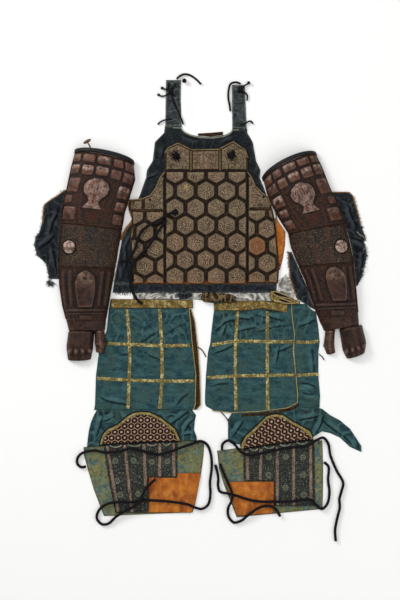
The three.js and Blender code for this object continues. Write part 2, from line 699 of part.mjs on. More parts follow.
// Ragged backing cloth that shows beside the sleeves.
const koteCloths = [
  {
    name: "kote_left_cloth",
    rows: [
      { y: 330, left: -407, right: -401.6 },
      { y: 312, left: -429, right: -405.3 },
      { y: 297, left: -453, right: -408.4 },
      { y: 285, left: -468, right: -410.8 },
      { y: 228, left: -474, right: -418 },
      { y: 201, left: -483, right: -419.8 },
      { y: 192, left: -492, right: -420.3 },
      { y: 165, left: -498, right: -421.4 },
      { y: 135, left: -489, right: -422.8 },
      { y: 108, left: -462, right: -423.7 },
      { y: 63, left: -452, right: -423.2 },
    ],
    folds: [
      { x: -447, y: 235, turn: 70, length: 110, width: 8, rise: 8 },
      { x: -465, y: 180, turn: 40, length: 70, width: 8, rise: 10 },
      { x: -443, y: 120, turn: 100, length: 90, width: 7, rise: 7 },
    ],
  },
  {
    name: "kote_right_cloth_outer",
    rows: [
      { y: 324, left: 397.5, right: 448 },
      { y: 312, left: 402.5, right: 459 },
      { y: 282, left: 416, right: 468 },
      { y: 225, left: 436, right: 483 },
      { y: 183, left: 448, right: 498 },
      { y: 174, left: 450.5, right: 492 },
      { y: 138, left: 458.5, right: 501 },
      { y: 105, left: 463, right: 495 },
      { y: 69, left: 466.5, right: 486 },
      { y: 42, left: 469, right: 472 },
    ],
    folds: [
      { x: 447, y: 250, turn: 110, length: 100, width: 8, rise: 7 },
      { x: 470, y: 170, turn: 150, length: 60, width: 7, rise: 9 },
      { x: 478, y: 110, turn: 80, length: 80, width: 7, rise: 8 },
    ],
  },
  {
    name: "kote_right_cloth_inner",
    rows: [
      { y: 144, left: 264, right: 274.5 },
      { y: 111, left: 266, right: 289 },
      { y: 66, left: 270, right: 309 },
      { y: 36, left: 279, right: 321.5 },
      { y: 6, left: 290, right: 330.5 },
      { y: -9, left: 310, right: 336 },
      { y: -27, left: 340, right: 343.5 },
    ],
    folds: [{ x: 296, y: 66, turn: 115, length: 90, width: 7, rise: 6 }],
  },
];
for (const cloth of koteCloths) {
  const geometry = clothWall(rowPanel(cloth.rows), 4, cloth.rows.length - 1, { folds: cloth.folds });
  addPiece(cloth.name, geometry, materials.indigo);
}

// Thigh aprons: cloth bodies, brocade bands along the top and a grid of brocade ribbons.
const leftBodyRows = [
  { y: 1, left: -268, right: -24 },
  { y: -27, left: -273, right: -33 },
  { y: -66, left: -277, right: -29 },
  { y: -93, left: -280, right: -27 },
  { y: -120, left: -291, right: -25 },
  { y: -156, left: -303, right: -21 },
  { y: -225, left: -312, right: -13 },
  { y: -315, left: -315, right: -15 },
  { y: -330, left: -318, right: -21 },
];
const rightBodyRows = [
  { y: -3, left: 42, right: 275 },
  { y: -33, left: 42, right: 275 },
  { y: -45, left: 40, right: 276 },
  { y: -105, left: 33, right: 284 },
  { y: -129, left: 31, right: 281 },
  { y: -156, left: 24, right: 279.5 },
  { y: -225, left: 18, right: 288 },
  { y: -285, left: 15, right: 293 },
  { y: -309, left: 15, right: 292 },
  { y: -340, left: 24, right: 285 },
];
const rightHem = [
  { across: 0, y: -318 },
  { across: 0.08, y: -333 },
  { across: 0.3, y: -339 },
  { across: 0.6, y: -335 },
  { across: 0.9, y: -325 },
  { across: 1, y: -313 },
];
const leftFolds = [
  { x: -150, y: -98, turn: 28, length: 110, width: 10, rise: 3 },
  { x: -75, y: -75, turn: 30, length: 80, width: 9, rise: 2.5 },
  { x: -222, y: -152, turn: 8, length: 50, width: 8, rise: 3 },
  { x: -140, y: -160, turn: -22, length: 90, width: 9, rise: 2.5 },
  { x: -250, y: -298, turn: -16, length: 120, width: 9, rise: 4.5 },
  { x: -60, y: -290, turn: 50, length: 80, width: 9, rise: 3 },
];
const rightFolds = [
  { x: 75, y: -62, turn: 30, length: 70, width: 7, rise: 5 },
  { x: 120, y: -50, turn: 8, length: 90, width: 7, rise: 5 },
  { x: 68, y: -92, turn: 70, length: 60, width: 7, rise: 4 },
  { x: 130, y: -82, turn: 12, length: 100, width: 7, rise: 4 },
  { x: 215, y: -48, turn: -14, length: 90, width: 7, rise: 5 },
  { x: 210, y: -78, turn: 10, length: 100, width: 7, rise: 4 },
  { x: 70, y: -138, turn: 24, length: 80, width: 8, rise: 4.5 },
  { x: 250, y: -140, turn: 28, length: 70, width: 7, rise: 4.5 },
  { x: 225, y: -165, turn: 80, length: 60, width: 7, rise: 3.5 },
  { x: 60, y: -245, turn: 4, length: 70, width: 8, rise: 3 },
];
const aprons = {
  left: {
    plan: rowPanel(leftBodyRows),
    folds: leftFolds,
    uprights: [
      [{ x: -219, y: -27.5 }, { x: -211, y: -135 }, { x: -213, y: -255 }, { x: -216, y: -326 }],
      [{ x: -121, y: -27.5 }, { x: -115, y: -135 }, { x: -114, y: -240 }, { x: -121, y: -326 }],
    ],
    bars: [
      [{ x: -278, y: -131 }, { x: -210, y: -133 }, { x: -120, y: -137 }, { x: -30, y: -136 }],
      [{ x: -309, y: -235 }, { x: -215, y: -240 }, { x: -114, y: -243 }, { x: -16, y: -243 }],
    ],
  },
  right: {
    plan: rowPanel(rightBodyRows, { bottom: (u) => lookup(rightHem, "across", "y", u) }),
    folds: rightFolds,
    uprights: [
      [{ x: 113, y: -34 }, { x: 107, y: -125 }, { x: 106, y: -225 }, { x: 108, y: -332 }],
      [{ x: 202, y: -34 }, { x: 202, y: -125 }, { x: 202, y: -225 }, { x: 203, y: -330 }],
    ],
    bars: [
      [{ x: 36, y: -135 }, { x: 105, y: -124 }, { x: 202, y: -125 }, { x: 278, y: -125 }],
      [{ x: 22, y: -233 }, { x: 108, y: -228 }, { x: 202, y: -226 }, { x: 284, y: -225 }],
    ],
  },
};

// A ribbon strip through its points, between two levels.
function ribbonStrip(points, upright, width, low, high) {
  const curve = new THREE.CatmullRomCurve3(points.map((point) => new THREE.Vector3(point.x, point.y, 0)));
  const surface = (level) => (u, v) => {
    const middle = curve.getPoint(upright ? v : u);
    const offset = (upright ? u - 0.5 : 0.5 - v) * width;
    return [middle.x + (upright ? offset : 0), middle.y + (upright ? 0 : offset), level];
  };
  const [across, along] = upright ? [1, RIBBON.steps] : [RIBBON.steps, 1];
  return asSolid(wallBetween(surface(high), surface(low), across, along));
}

function ribbonGrid({ uprights, bars }, width, low, high) {
  const strips = [
    ...uprights.map((points) => ribbonStrip(points, true, width, low, high)),
    ...bars.map((points) => ribbonStrip(points, false, width, low, high)),
  ];
  return joined(strips[0], strips.slice(1));
}

// Bands of brocade along the top of each apron.
const bandPlans = {
  left: columnPanel([
    { x: -267, top: 3, bottom: -25 },
    { x: -140, top: 2, bottom: -24.5 },
    { x: -21, top: 0, bottom: -25 },
  ]),
  right: columnPanel([
    { x: 42, top: -11, bottom: -32 },
    { x: 120, top: -3, bottom: -32 },
    { x: 186, top: -3, bottom: -26 },
    { x: 262, top: -10, bottom: -38 },
  ]),
};
const PRESSED = CLOTH_WALL + 0.05;
const ABOVE_ALL = 40;
const pressedBy = (plan) => outlinePrism(plan, -0.5, PRESSED, ABOVE_ALL, plan.steps, 1);

for (const side of ["left", "right"]) {
  const apron = aprons[side];
  const cloth = asSolid(clothWall(apron.plan, 8, apron.plan.steps, { folds: apron.folds }));
  const sewnDown = ribbonGrid(apron, RIBBON.width + 1, PRESSED, ABOVE_ALL);
  const body = pressedFlat(cloth, [sewnDown, pressedBy(bandPlans[side])]);
  addPiece(`haidate_${side}_body`, asGeometry(body), materials.teal);

  const ribbons = ribbonGrid(apron, RIBBON.width, OVER_CLOTH, OVER_CLOTH + RIBBON.wall);
  addPiece(`haidate_${side}_ribbons`, asGeometry(ribbons), materials.gold);

  const band = clothWall(bandPlans[side], bandPlans[side].steps, 1, { level: OVER_CLOTH });
  addPiece(`haidate_${side}_band`, band, materials.gold);
}

const flatPieces = [
  {
    name: "haidate_left_side", material: materials.brocade, level: 0,
    plan: rowPanel([
      { y: -27, left: -32.4, right: -25 },
      { y: -66, left: -28.4, right: -14 },
      { y: -93, left: -26.4, right: -11 },
      { y: -120, left: -24.4, right: -8 },
      { y: -156, left: -20.4, right: -4 },
      { y: -225, left: -12.4, right: 1 },
      { y: -315, left: -14.4, right: 3 },
      { y: -329, left: -20, right: -9 },
    ]),
    across: 1, along: 7,
  },
  {
    name: "haidate_right_side", material: materials.teal, level: 0,
    plan: rowPanel([
      { y: -12, left: 276, right: 345 },
      { y: -33, left: 276, right: 346 },
      { y: -75, left: 281, right: 354 },
      { y: -105, left: 285, right: 357 },
      { y: -126, left: 283.5, right: 359 },
      { y: -156, left: 282.5, right: 355 },
      { y: -225, left: 289, right: 355 },
      { y: -285, left: 294, right: 360 },
      { y: -324, left: 294, right: 358.5 },
    ], { top: (u) => THREE.MathUtils.lerp(-12, -34, THREE.MathUtils.smoothstep(u, 0.5, 1)) }),
    folds: [
      { x: 318, y: -60, turn: 20, length: 60, width: 8, rise: 4 },
      { x: 330, y: -180, turn: 96, length: 110, width: 8, rise: 3 },
      { x: 322, y: -262, turn: 168, length: 56, width: 7, rise: 4 },
      { x: 326, y: -288, turn: 172, length: 50, width: 6, rise: 3 },
    ],
    across: 4, along: 8,
  },
  {
    name: "haidate_left_lower", material: materials.teal, level: 0,
    plan: rowPanel([
      { y: -330.5, left: -309, right: -24 },
      { y: -345, left: -318, right: -12 },
      { y: -366, left: -327, right: -16 },
      { y: -390, left: -333, right: -18 },
      { y: -410, left: -336, right: -10 },
      { y: -440, left: -339, right: -9 },
    ], { bottom: (u) => THREE.MathUtils.lerp(-438, -420, Math.min(u * 1.25, 1)) }),
    folds: [
      { x: -308, y: -372, turn: 70, length: 70, width: 7, rise: 6 },
      { x: -283, y: -352, turn: 25, length: 60, width: 7, rise: 5 },
      { x: -68, y: -352, turn: 35, length: 80, width: 7, rise: 7 },
      { x: -38, y: -372, turn: 60, length: 60, width: 6, rise: 8 },
      { x: -38, y: -400, turn: 10, length: 44, width: 6, rise: 6 },
    ],
    across: 14, along: 5, knee: "left",
  },
  {
    name: "haidate_right_lower", material: materials.teal, level: 0,
    plan: columnPanel([
      { x: 84, top: -358, bottom: -424 },
      { x: 96, top: -341, bottom: -430 },
      { x: 125, top: -340, bottom: -434 },
      { x: 215, top: -340.5, bottom: -428 },
      { x: 250, top: -338, bottom: -421 },
      { x: 288, top: -328, bottom: -415 },
      { x: 295, top: -324.4, bottom: -414 },
      { x: 345, top: -324.4, bottom: -408 },
      { x: 366, top: -326, bottom: -394 },
      { x: 390, top: -345, bottom: -399 },
      { x: 420, top: -361, bottom: -413 },
      { x: 450, top: -386, bottom: -441 },
      { x: 484, top: -438, bottom: -456 },
    ]),
    folds: [
      { x: 325, y: -345, turn: 12, length: 70, width: 7, rise: 6 },
      { x: 352, y: -372, turn: 60, length: 70, width: 7, rise: 8 },
      { x: 405, y: -378, turn: -38, length: 90, width: 8, rise: 9 },
      { x: 452, y: -420, turn: -50, length: 70, width: 7, rise: 7 },
      { x: 108, y: -380, turn: 60, length: 60, width: 7, rise: 7 },
    ],
    across: 24, along: 3, knee: "right",
  },
  {
    name: "haidate_waistband", material: materials.white, level: 0, wall: 2,
    plan: columnPanel([
      { x: -201, top: 21.5, bottom: 1.5 },
      { x: -20, top: 21.5, bottom: 1.5 },
      { x: 40, top: 21.5, bottom: -2.5 },
      { x: 232, top: 21.5, bottom: -2.5 },
      { x: 238, top: 60, bottom: -2.5 },
      { x: 258, top: 78, bottom: -2.5 },
      { x: 266, top: 62, bottom: -2.5 },
      { x: 282, top: 18, bottom: -2.5 },
    ]),
    across: 7, along: 1,
  },
  {
    name: "haidate_right_band_fold", material: materials.gold, level: OVER_CLOTH + CLOTH_WALL + GAP,
    plan: columnPanel([
      { x: 210, top: 27, bottom: 2 },
      { x: 228, top: 28, bottom: -9 },
      { x: 262, top: 12, bottom: -14 },
      { x: 284, top: 2, bottom: -14 },
      { x: 300, top: -4, bottom: -12 },
    ]),
    across: 4, along: 1,
  },
  {
    name: "haidate_belt_end", material: materials.brocade, level: 6,
    plan: columnPanel([
      { x: 3, top: 12, bottom: 2 },
      { x: 12, top: 23, bottom: -6 },
      { x: 40, top: 22, bottom: -9 },
      { x: 58, top: 20, bottom: -3 },
      { x: 70, top: 20, bottom: -6 },
      { x: 96, top: 17, bottom: -7 },
      { x: 108, top: 10, bottom: -2 },
    ]),
    wall: 8,
    across: 6, along: 2,
  },
];

// Shin guards: a brocade cloth, a panel of mail and raised splints, a leather patch and a knee plate.
const shins = {
  left: {
    cloth: rowPanel([
      { y: -424, left: -350, right: 13 },
      { y: -465, left: -348, right: 10.5 },
      { y: -510, left: -336, right: 5 },
      { y: -570, left: -318, right: -6 },
      { y: -615, left: -301, right: -15 },
      { y: -648, left: -288, right: -26 },
    ], {
      top: (u) => THREE.MathUtils.lerp(-441, -424, Math.min(u * 1.25, 1)),
      bottom: (u) => THREE.MathUtils.lerp(-648, -637, u),
    }),
    knee: [
      { x: -301, top: -429, bottom: -434 },
      { x: -291, top: -399, bottom: -434 },
      { x: -276, top: -385, bottom: -433 },
      { x: -246, top: -372, bottom: -431 },
      { x: -219, top: -348, bottom: -430 },
      { x: -198, top: -337, bottom: -429 },
      { x: -177, top: -334, bottom: -428 },
      { x: -150, top: -336, bottom: -427 },
      { x: -120, top: -350, bottom: -426 },
      { x: -96, top: -368, bottom: -425 },
      { x: -75, top: -383, bottom: -424 },
      { x: -63, top: -409, bottom: -423 },
      { x: -59, top: -418, bottom: -423 },
    ],
    hexOrigin: { x: -177, y: -360 },
    hexSlope: 0.02,
    panels: [
      rowPanel([
        { y: -434.5, left: -289, right: -155 },
        { y: -500, left: -280, right: -155 },
        { y: -560, left: -270, right: -155 },
        { y: -638, left: -254, right: -155 },
      ], { top: (u) => THREE.MathUtils.lerp(-434.5, -428.5, u) }),
      rowPanel([
        { y: -426, left: -160, right: -67 },
        { y: -531, left: -160, right: -68 },
      ], { top: (u) => THREE.MathUtils.lerp(-428.6, -423.6, u) }),
    ],
    splints: [
      { topX: -279, topY: -436, footX: -245, footY: -637, half: 8 },
      { topX: -226, topY: -433, footX: -204, footY: -637, half: 8 },
      { topX: -168, topY: -431, footX: -163, footY: -560, half: 8 },
      { topX: -121, topY: -428, footX: -121, footY: -530, half: 8 },
      { topX: -80, topY: -427, footX: -78, footY: -530, half: 8 },
    ],
    leather: columnPanel([
      { x: -154.5, top: -532, bottom: -638 },
      { x: -67.2, top: -532, bottom: -638 },
      { x: -66.6, top: -518, bottom: -638 },
      { x: -25, top: -518, bottom: -638 },
      { x: -13, top: -518, bottom: -600 },
      { x: 2, top: -518, bottom: -528 },
    ]),
  },
  right: {
    cloth: rowPanel([
      { y: -427, left: 51, right: 367 },
      { y: -453, left: 51, right: 368 },
      { y: -504, left: 57, right: 369 },
      { y: -555, left: 72, right: 369 },
      { y: -600, left: 90, right: 368 },
      { y: -652, left: 110, right: 366 },
    ], {
      top: (u) => THREE.MathUtils.lerp(-452, -421, Math.min(u * 1.3, 1)),
      bottom: (u) => THREE.MathUtils.lerp(-652, -627, u),
    }),
    knee: [
      { x: 122, top: -439, bottom: -448 },
      { x: 125, top: -420, bottom: -447 },
      { x: 138, top: -405, bottom: -445 },
      { x: 171, top: -375, bottom: -440 },
      { x: 198, top: -348, bottom: -436 },
      { x: 213, top: -343, bottom: -434 },
      { x: 228, top: -341, bottom: -432 },
      { x: 249, top: -343.5, bottom: -429 },
      { x: 273, top: -360, bottom: -426 },
      { x: 306, top: -378, bottom: -422 },
      { x: 330, top: -390, bottom: -419 },
      { x: 339, top: -411, bottom: -418 },
    ],
    hexOrigin: { x: 234, y: -362 },
    hexSlope: 0.14,
    panels: [
      rowPanel([
        { y: -434, left: 130, right: 226 },
        { y: -450, left: 130, right: 226 },
        { y: -543, left: 131, right: 226 },
      ], { top: (u) => THREE.MathUtils.lerp(-448, -434, u) }),
      rowPanel([
        { y: -420, left: 223, right: 343 },
        { y: -618, left: 223, right: 345 },
      ], { top: (u) => THREE.MathUtils.lerp(-434, -419, u) }),
    ],
    splints: [
      { topX: 141, topY: -452, footX: 143, footY: -542, half: 8 },
      { topX: 183, topY: -445, footX: 181, footY: -541, half: 8 },
      { topX: 231, topY: -438, footX: 232, footY: -617, half: 8 },
      { topX: 280, topY: -432, footX: 281, footY: -617, half: 8 },
      { topX: 331, topY: -428, footX: 333, footY: -600, half: 8 },
    ],
    leather: columnPanel([
      { x: 80, top: -544, bottom: -552 },
      { x: 94, top: -544, bottom: -600 },
      { x: 112, top: -544, bottom: -648 },
      { x: 222, top: -544, bottom: -640 },
    ]),
  },
};
for (const piece of flatPieces) {
  const { level, wall, folds, knee } = piece;
  const cloth = asSolid(clothWall(piece.plan, piece.across, piece.along, { level, wall, folds }));
  const prisms = knee ? [pressedBy(columnPanel(shins[knee].knee))] : [];
  addPiece(piece.name, asGeometry(pressedFlat(cloth, prisms)), piece.material);
}

for (const side of ["left", "right"]) {
  const shin = shins[side];
  addPiece(`suneate_${side}_cloth`, clothWall(shin.cloth, 4, 5), materials.shin);

  const kneePlan = columnPanel(shin.knee);
  const kneeBase = asSolid(clothWall(kneePlan, kneePlan.steps, 1, { level: OVER_CLOTH, wall: PLATED_WALL }));
  const reach = { rowFrom: 0, rowTo: 3, columnFrom: -7, columnTo: 7 };
  const { hexOrigin, hexSlope } = shin;
  const plates = hexField(SMALL_HEX, kneePlan, PLATED_TOP, hexOrigin, reach, KNEE_HEX_INSET, hexSlope);
  addPiece(`suneate_${side}_knee`, asGeometry(joined(kneeBase, plates)), materials.gold);

  const splints = shin.splints.map((splint) => {
    const surface = (lift) => (u, v) => {
      const x = THREE.MathUtils.lerp(splint.topX, splint.footX, v);
      const y = THREE.MathUtils.lerp(splint.topY, splint.footY, v);
      const crown = lift * THREE.MathUtils.lerp(1, SPLINT.edgeShare, Math.abs(2 * u - 1));
      return [x + (2 * u - 1) * splint.half, y, OVER_CLOTH + CLOTH_WALL - SINK + crown];
    };
    return asSolid(wallBetween(surface(SPLINT.rise + SINK), surface(0), 2, 2));
  });
  const bases = shin.panels.map((plan) => asSolid(clothWall(plan, 1, 2, { level: OVER_CLOTH })));
  const splinted = joined(bases[0], [bases[1], ...splints]);
  addPiece(`suneate_${side}_splints`, asGeometry(splinted), materials.mail);

  const leather = clothWall(shin.leather, shin.leather.steps, 1, { level: OVER_CLOTH, wall: LEATHER_WALL });
  addPiece(`suneate_${side}_leather`, leather, materials.leather);
}

// Cords, each along points chosen by hand: [x, y, height of its middle above the surface].
const cords = [
  {
    name: "do_cord_side_upper", steps: 9,
    route: [
      [-75, 262, 13.8], [-90, 259, 13.8], [-126, 237, 13.8], [-160, 219, 13.8], [-177, 202, 13.8],
      [-189, 172, 13.8], [-196, 150, 13.8], [-209, 129, 13], [-222, 118, 9], [-236, 116, 8.5],
    ],
  },
  {
    name: "do_cord_side_lower", steps: 11,
    route: [
      [-100, 240, 13.8], [-114, 221, 13.8], [-136, 190, 13.8], [-152, 164, 13.8], [-180, 134, 13.8],
      [-199, 112, 13.8], [-209, 84, 11], [-210, 60, 8], [-205, 34, 7.2], [-197, 14, 9],
      [-185, -2, 10], [-172, -12, 10],
    ],
  },
  {
    name: "do_cord_strap_left", steps: 6, radius: 3,
    route: [
      [-70, 662.7, 3.4], [-60, 672, 3.4], [-46, 677, 3.4], [-30, 674, 3.4], [-13, 663, 3.4], [3, 647, 3.4],
    ],
  },
  {
    name: "do_cord_strap_right", steps: 7, radius: 3,
    route: [
      [122, 648.5, 3.4], [108, 653, 3.4], [92, 648, 3.4], [86, 630, 3.4], [85, 606, 3.4], [89, 584, 3.4],
      [91, 566, 3.4],
    ],
  },
  {
    name: "suneate_left_cord", steps: 42,
    route: [
      [-342, -499, 6.9], [-356, -501, 4.6], [-367, -492, 4.6], [-368, -477, 4.6], [-360, -464, 6],
      [-344, -455, 7.6], [-315, -451, 8], [-284, -456, 12.8], [-240, -453, 12.8], [-207, -444, 12.8],
      [-186, -448, 12.8], [-150, -458, 12.8], [-120, -462, 12.8], [-92, -455, 12.8], [-60, -443, 12.6],
      [-30, -433, 8.5], [2, -423, 7.8], [20, -432, 6.6], [32, -460, 4.6], [35, -504, 4.6],
      [30, -546, 4.6], [31, -585, 4.6], [24, -614, 4.6], [6, -626, 4.6], [-14, -622, 8.8],
      [-34, -613, 9.6], [-90, -604, 9], [-146, -600, 11], [-164, -600, 12.8], [-210, -605, 12.8],
      [-258, -606, 12.8], [-288, -616, 8.5], [-305, -634, 5], [-309, -655, 4.6], [-294, -672, 4.6],
      [-274, -670, 4.6], [-252, -650, 8], [-215, -627, 12.8], [-188, -611, 19], [-176, -595, 21.5],
      [-165, -570, 13.4], [-147, -549, 12.8], [-133, -536, 12.8],
    ],
  },
  {
    name: "suneate_right_cord_upper", steps: 26,
    route: [
      [66, -450, 7.2], [68, -432, 5.5], [84, -421, 6.5], [101, -430, 7.6], [124, -456, 11.5],
      [152, -464, 12.8], [210, -453, 12.8], [270, -442, 12.8], [322, -436, 13.2], [350, -419, 11],
      [370, -413, 7.2], [384, -430, 5], [391, -466, 4.6], [410, -512, 4.6], [429, -548, 4.6],
      [424, -574, 4.6], [418, -596, 4.6], [419, -622, 4.6], [411, -656, 4.6], [405, -690, 4.6],
      [407, -723, 4.6],
    ],
  },
  {
    name: "suneate_right_cord_lower", steps: 24,
    route: [
      [372, -486, 4.6], [385, -499, 4.6], [384, -540, 4.6], [388, -576, 4.6], [382, -610, 4.6],
      [366, -626, 7.2], [350, -616, 9.5], [332, -598, 13.2], [285, -602, 13.2], [240, -604, 13.2],
      [216, -604, 10.5], [186, -604, 9], [150, -599, 9], [108, -586, 9], [84, -580, 9],
      [60, -574, 4.6], [54, -556, 4.6], [55, -535, 4.6], [50, -508, 4.6], [46, -494, 4.6],
    ],
  },
  {
    name: "suneate_right_cord_front", steps: 20,
    route: [
      [60, -490, 7], [69, -514, 7.2], [84, -548, 9], [94, -572, 17], [97, -586, 19],
      [94, -602, 15.5], [84, -626, 4.6], [86, -650, 4.6], [102, -667, 4.6], [126, -660, 5.4],
      [138, -650, 8], [150, -640, 10], [180, -621, 9], [208, -617, 10], [226, -625, 12.8], [240, -648, 6.4],
    ],
  },
];
for (const { name, steps, route, radius = CORD_RADIUS } of cords) {
  const section = new THREE.Shape();
  for (let i = 0; i < CORD_SIDES; i += 1) {
    const angle = (i / CORD_SIDES) * Math.PI * 2;
    const move = i === 0 ? "moveTo" : "lineTo";
    section[move](radius * Math.cos(angle), radius * Math.sin(angle));
  }
  const extrudePath = new THREE.CatmullRomCurve3(route.map((point) => new THREE.Vector3(...point)));
  const tube = new THREE.ExtrudeGeometry(section, { steps, bevelEnabled: false, extrudePath });
  addPiece(name, tube, materials.black);
}

export default group;
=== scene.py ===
import json
import math
import bpy
import numpy as np
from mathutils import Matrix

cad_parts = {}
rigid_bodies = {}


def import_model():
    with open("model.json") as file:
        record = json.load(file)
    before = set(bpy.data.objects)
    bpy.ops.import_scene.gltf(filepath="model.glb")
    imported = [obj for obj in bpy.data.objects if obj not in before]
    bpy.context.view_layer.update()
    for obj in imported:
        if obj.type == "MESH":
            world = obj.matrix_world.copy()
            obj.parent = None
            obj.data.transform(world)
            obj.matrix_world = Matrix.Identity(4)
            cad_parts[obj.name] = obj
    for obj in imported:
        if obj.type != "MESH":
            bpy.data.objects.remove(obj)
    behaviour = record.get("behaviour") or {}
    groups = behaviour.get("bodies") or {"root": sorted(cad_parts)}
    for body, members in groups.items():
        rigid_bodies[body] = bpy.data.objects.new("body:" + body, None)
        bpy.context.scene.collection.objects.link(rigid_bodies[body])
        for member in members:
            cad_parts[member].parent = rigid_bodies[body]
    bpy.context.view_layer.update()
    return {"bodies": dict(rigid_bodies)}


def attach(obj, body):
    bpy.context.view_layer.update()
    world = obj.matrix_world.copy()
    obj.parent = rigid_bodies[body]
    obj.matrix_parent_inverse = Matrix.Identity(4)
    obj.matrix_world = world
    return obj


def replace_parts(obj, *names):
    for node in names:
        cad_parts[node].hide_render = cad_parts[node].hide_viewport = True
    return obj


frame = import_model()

# A folding armour set laid out flat. Tables and heights are in millimetres on the sheet that the set
# lies on, whose origin lies between the two thigh aprons; meshes are made in metres in the row frame.
SHEET_SHIFT = (-1.5, -4.0)
MM = 0.001
GAP = 0.3
CLOTH_WALL = 2.5
STRAP_WALL = 3.0
LEATHER_WALL = 1.5
PLATED_WALL = 4.0
IRON_WALL = 3.0
OVER_CLOTH = CLOTH_WALL + GAP
PLATED_TOP = OVER_CLOTH + PLATED_WALL
CELL = 2.2
HEX = dict(half=26.5, pitch_x=61.8, pitch_y=51.6, rise=2.5, bevel=3.0)
SMALL_HEX = dict(half=7.75, pitch_x=19.5, pitch_y=17.2, rise=1.5, bevel=1.6)
PLATE_RISE = 2.2
SPLINT_RISE = 3.0
RIBBON_WIDTH = 10.0
RIBBON_WALL = 0.9
# A lying cloth: its edge is rounded over EDGE_ROUND and starts at a share of the wall, no point comes
# nearer to its level than LEAST_LIFT, and a ragged one states at least a share of its flat size as its area.
EDGE_ROUND = 2.2
EDGE_SHARE = 0.35
LEAST_LIFT = 0.25
# A fold is a swell with a groove beside it. Widths and places are shares of the fold's own width.
FOLD = dict(wander=3.5, wander_size=26, reach=0.58, swell=0.7, swell_width=1.3, groove=0.55,
            groove_place=1.15, groove_width=0.38)
# A plate's outline is between a sharp hexagon and a circle. The slant is the hexagon's own.
HEX_SLANT = 0.866
HEX_ROUNDNESS = 0.28
HEX_ROUND_REACH = 1.04
THREAD = dict(points=5, curl=0.5, lift=0.8, floor=0.75, arch=1.2, half_turn=3.1, taper=0.75)


def rows(keys, *values):
    """A table with named columns."""
    columns = keys.split()
    return {key: np.array([float(row[i]) for row in values]) for i, key in enumerate(columns)}


def lookup(table, key, column, at):
    """A column's value where the key column has that value, straight between the rows."""
    order = np.argsort(table[key])
    return np.interp(at, table[key][order], table[column][order])


def each(table):
    """The rows of a table, each with its named values."""
    keys = list(table)
    return [dict(zip(keys, values)) for values in zip(*(table[key] for key in keys))]


# Outlines. A flat panel has a row for each height with its left and right edge, or for each place
# across with its top and bottom. An arch has its outer and inner foot, its height and how far its crown
# bulges towards the shoulder, at numbered rows. Plates on an arch lie from -1 to 1 across and at those rows.
BACK = rows("y left right",
    (522, -105, 141), (501, -108, 142), (474, -135, 158), (417, -142, 168), (390, -159, 181),
    (366, -162, 179), (342, -171, 189), (318, -179, 198), (276, -198, 216), (240, -206, 225),
    (210, -222, 227), (180, -234, 227), (120, -245, 230), (50, -258, 231))
BACK_FOLDS = rows("x y turn length width rise",
    (-122, 440, 78, 70, 9, 3), (157, 445, 102, 70, 9, 3), (-229, 130, 84, 130, 7, 3),
    (-150, 372, 20, 60, 6, 3.5), (-30, 478, 160, 70, 7, 2.5), (80, 480, 20, 60, 7, 2.5),
    (-180, 336, 60, 70, 6, 4), (205, 330, 112, 70, 6, 4), (170, 400, 70, 60, 6, 3),
    (-222, 180, 66, 60, 6, 3.5), (-240, 90, 100, 60, 6, 3))
STRAP_LEFT = rows("y left right",
    (660, -102, -57), (600, -103, -58), (522, -104, -55))
STRAP_RIGHT = rows("y left right",
    (645, 96, 135), (580, 96, 137), (514, 97, 140))
NECK_PLATE = rows("x top bottom",
    (-6, 499.5, 492.9), (33.3, 502, 490.2), (69, 505, 494.6))
HEM = rows("y left right",
    (49.6, -258, 231), (22, -262, 229))
FRONT = rows("y left right",
    (387, -105, 141.5), (46, -105, 141.5))
FLANK_LEFT = rows("y left right",
    (267, -207, -105.4), (240, -204, -105.4), (195, -210, -105.4), (114, -204, -105.4),
    (47, -201, -105.4))
FLANK_RIGHT = rows("y left right",
    (272, 141.9, 217), (255, 141.9, 221), (195, 141.9, 229), (105, 141.9, 238), (50, 141.9, 234))
ARMPIT_LEFT = rows("x top bottom",
    (-213, 299, 267.4), (-174, 303, 267.4), (-150, 312, 267.4), (-132, 336, 267.4), (-120, 366, 267.4),
    (-105.4, 384, 267.4))
ARMPIT_RIGHT = rows("x top bottom",
    (141.9, 384, 272.4), (156, 366, 272.4), (165, 342, 272.4), (186, 321, 272.4), (201, 311, 272.4),
    (214, 283, 272.4))
BREAST_LEFT = rows("x top bottom",
    (-105, 441, 387.4), (-96, 456, 387.4), (-66, 470, 387.4), (-27, 451, 387.4))
BREAST_CENTRE = rows("x top bottom",
    (-26.6, 450, 387.4), (60, 451.5, 387.4))
BREAST_RIGHT = rows("x top bottom",
    (60.4, 454, 387.4), (99, 474, 387.4), (135, 450, 387.4), (144, 426, 387.4))
LINING = rows("y left right",
    (246, 225, 230), (231, 226.2, 238), (205, 227.5, 256), (165, 228.2, 255), (126, 230.2, 249),
    (90, 230.9, 240))
ARM_LEFT = rows("row outX outY inX inY height bulge",
    (0, -372, 450, -201, 417, 44, 15), (1, -387, 396, -194, 360, 48, 9),
    (2, -399, 339, -210, 309, 48, 6), (3, -410, 285, -225, 261, 46, 4),
    (4, -417, 234, -233, 213, 44, 2), (5, -420, 180, -242, 165, 43, 0),
    (6, -423, 114, -252, 108, 42, 0), (7, -422, 45, -263, 45, 39, 0), (8, -413, -15, -273, -12, 35, 0),
    (9, -402, -57, -281, -54, 31, 0), (10, -393, -93, -285, -90, 29, 0))
HAND_LEFT = rows("row outX outY inX inY height bulge",
    (0, -393, -93.4, -318, -91.3, 28, 0), (1, -399, -135, -321, -132, 27, 0),
    (2, -399, -156, -322, -153, 25, -2), (3, -396, -179, -327, -177, 17, -4))
THUMB_LEFT = rows("row outX outY inX inY height bulge",
    (0, -316, -91.3, -287, -90.5, 18, 0), (1, -315, -130, -282, -128, 17, 0),
    (2, -311, -156, -285, -155, 10, -3))
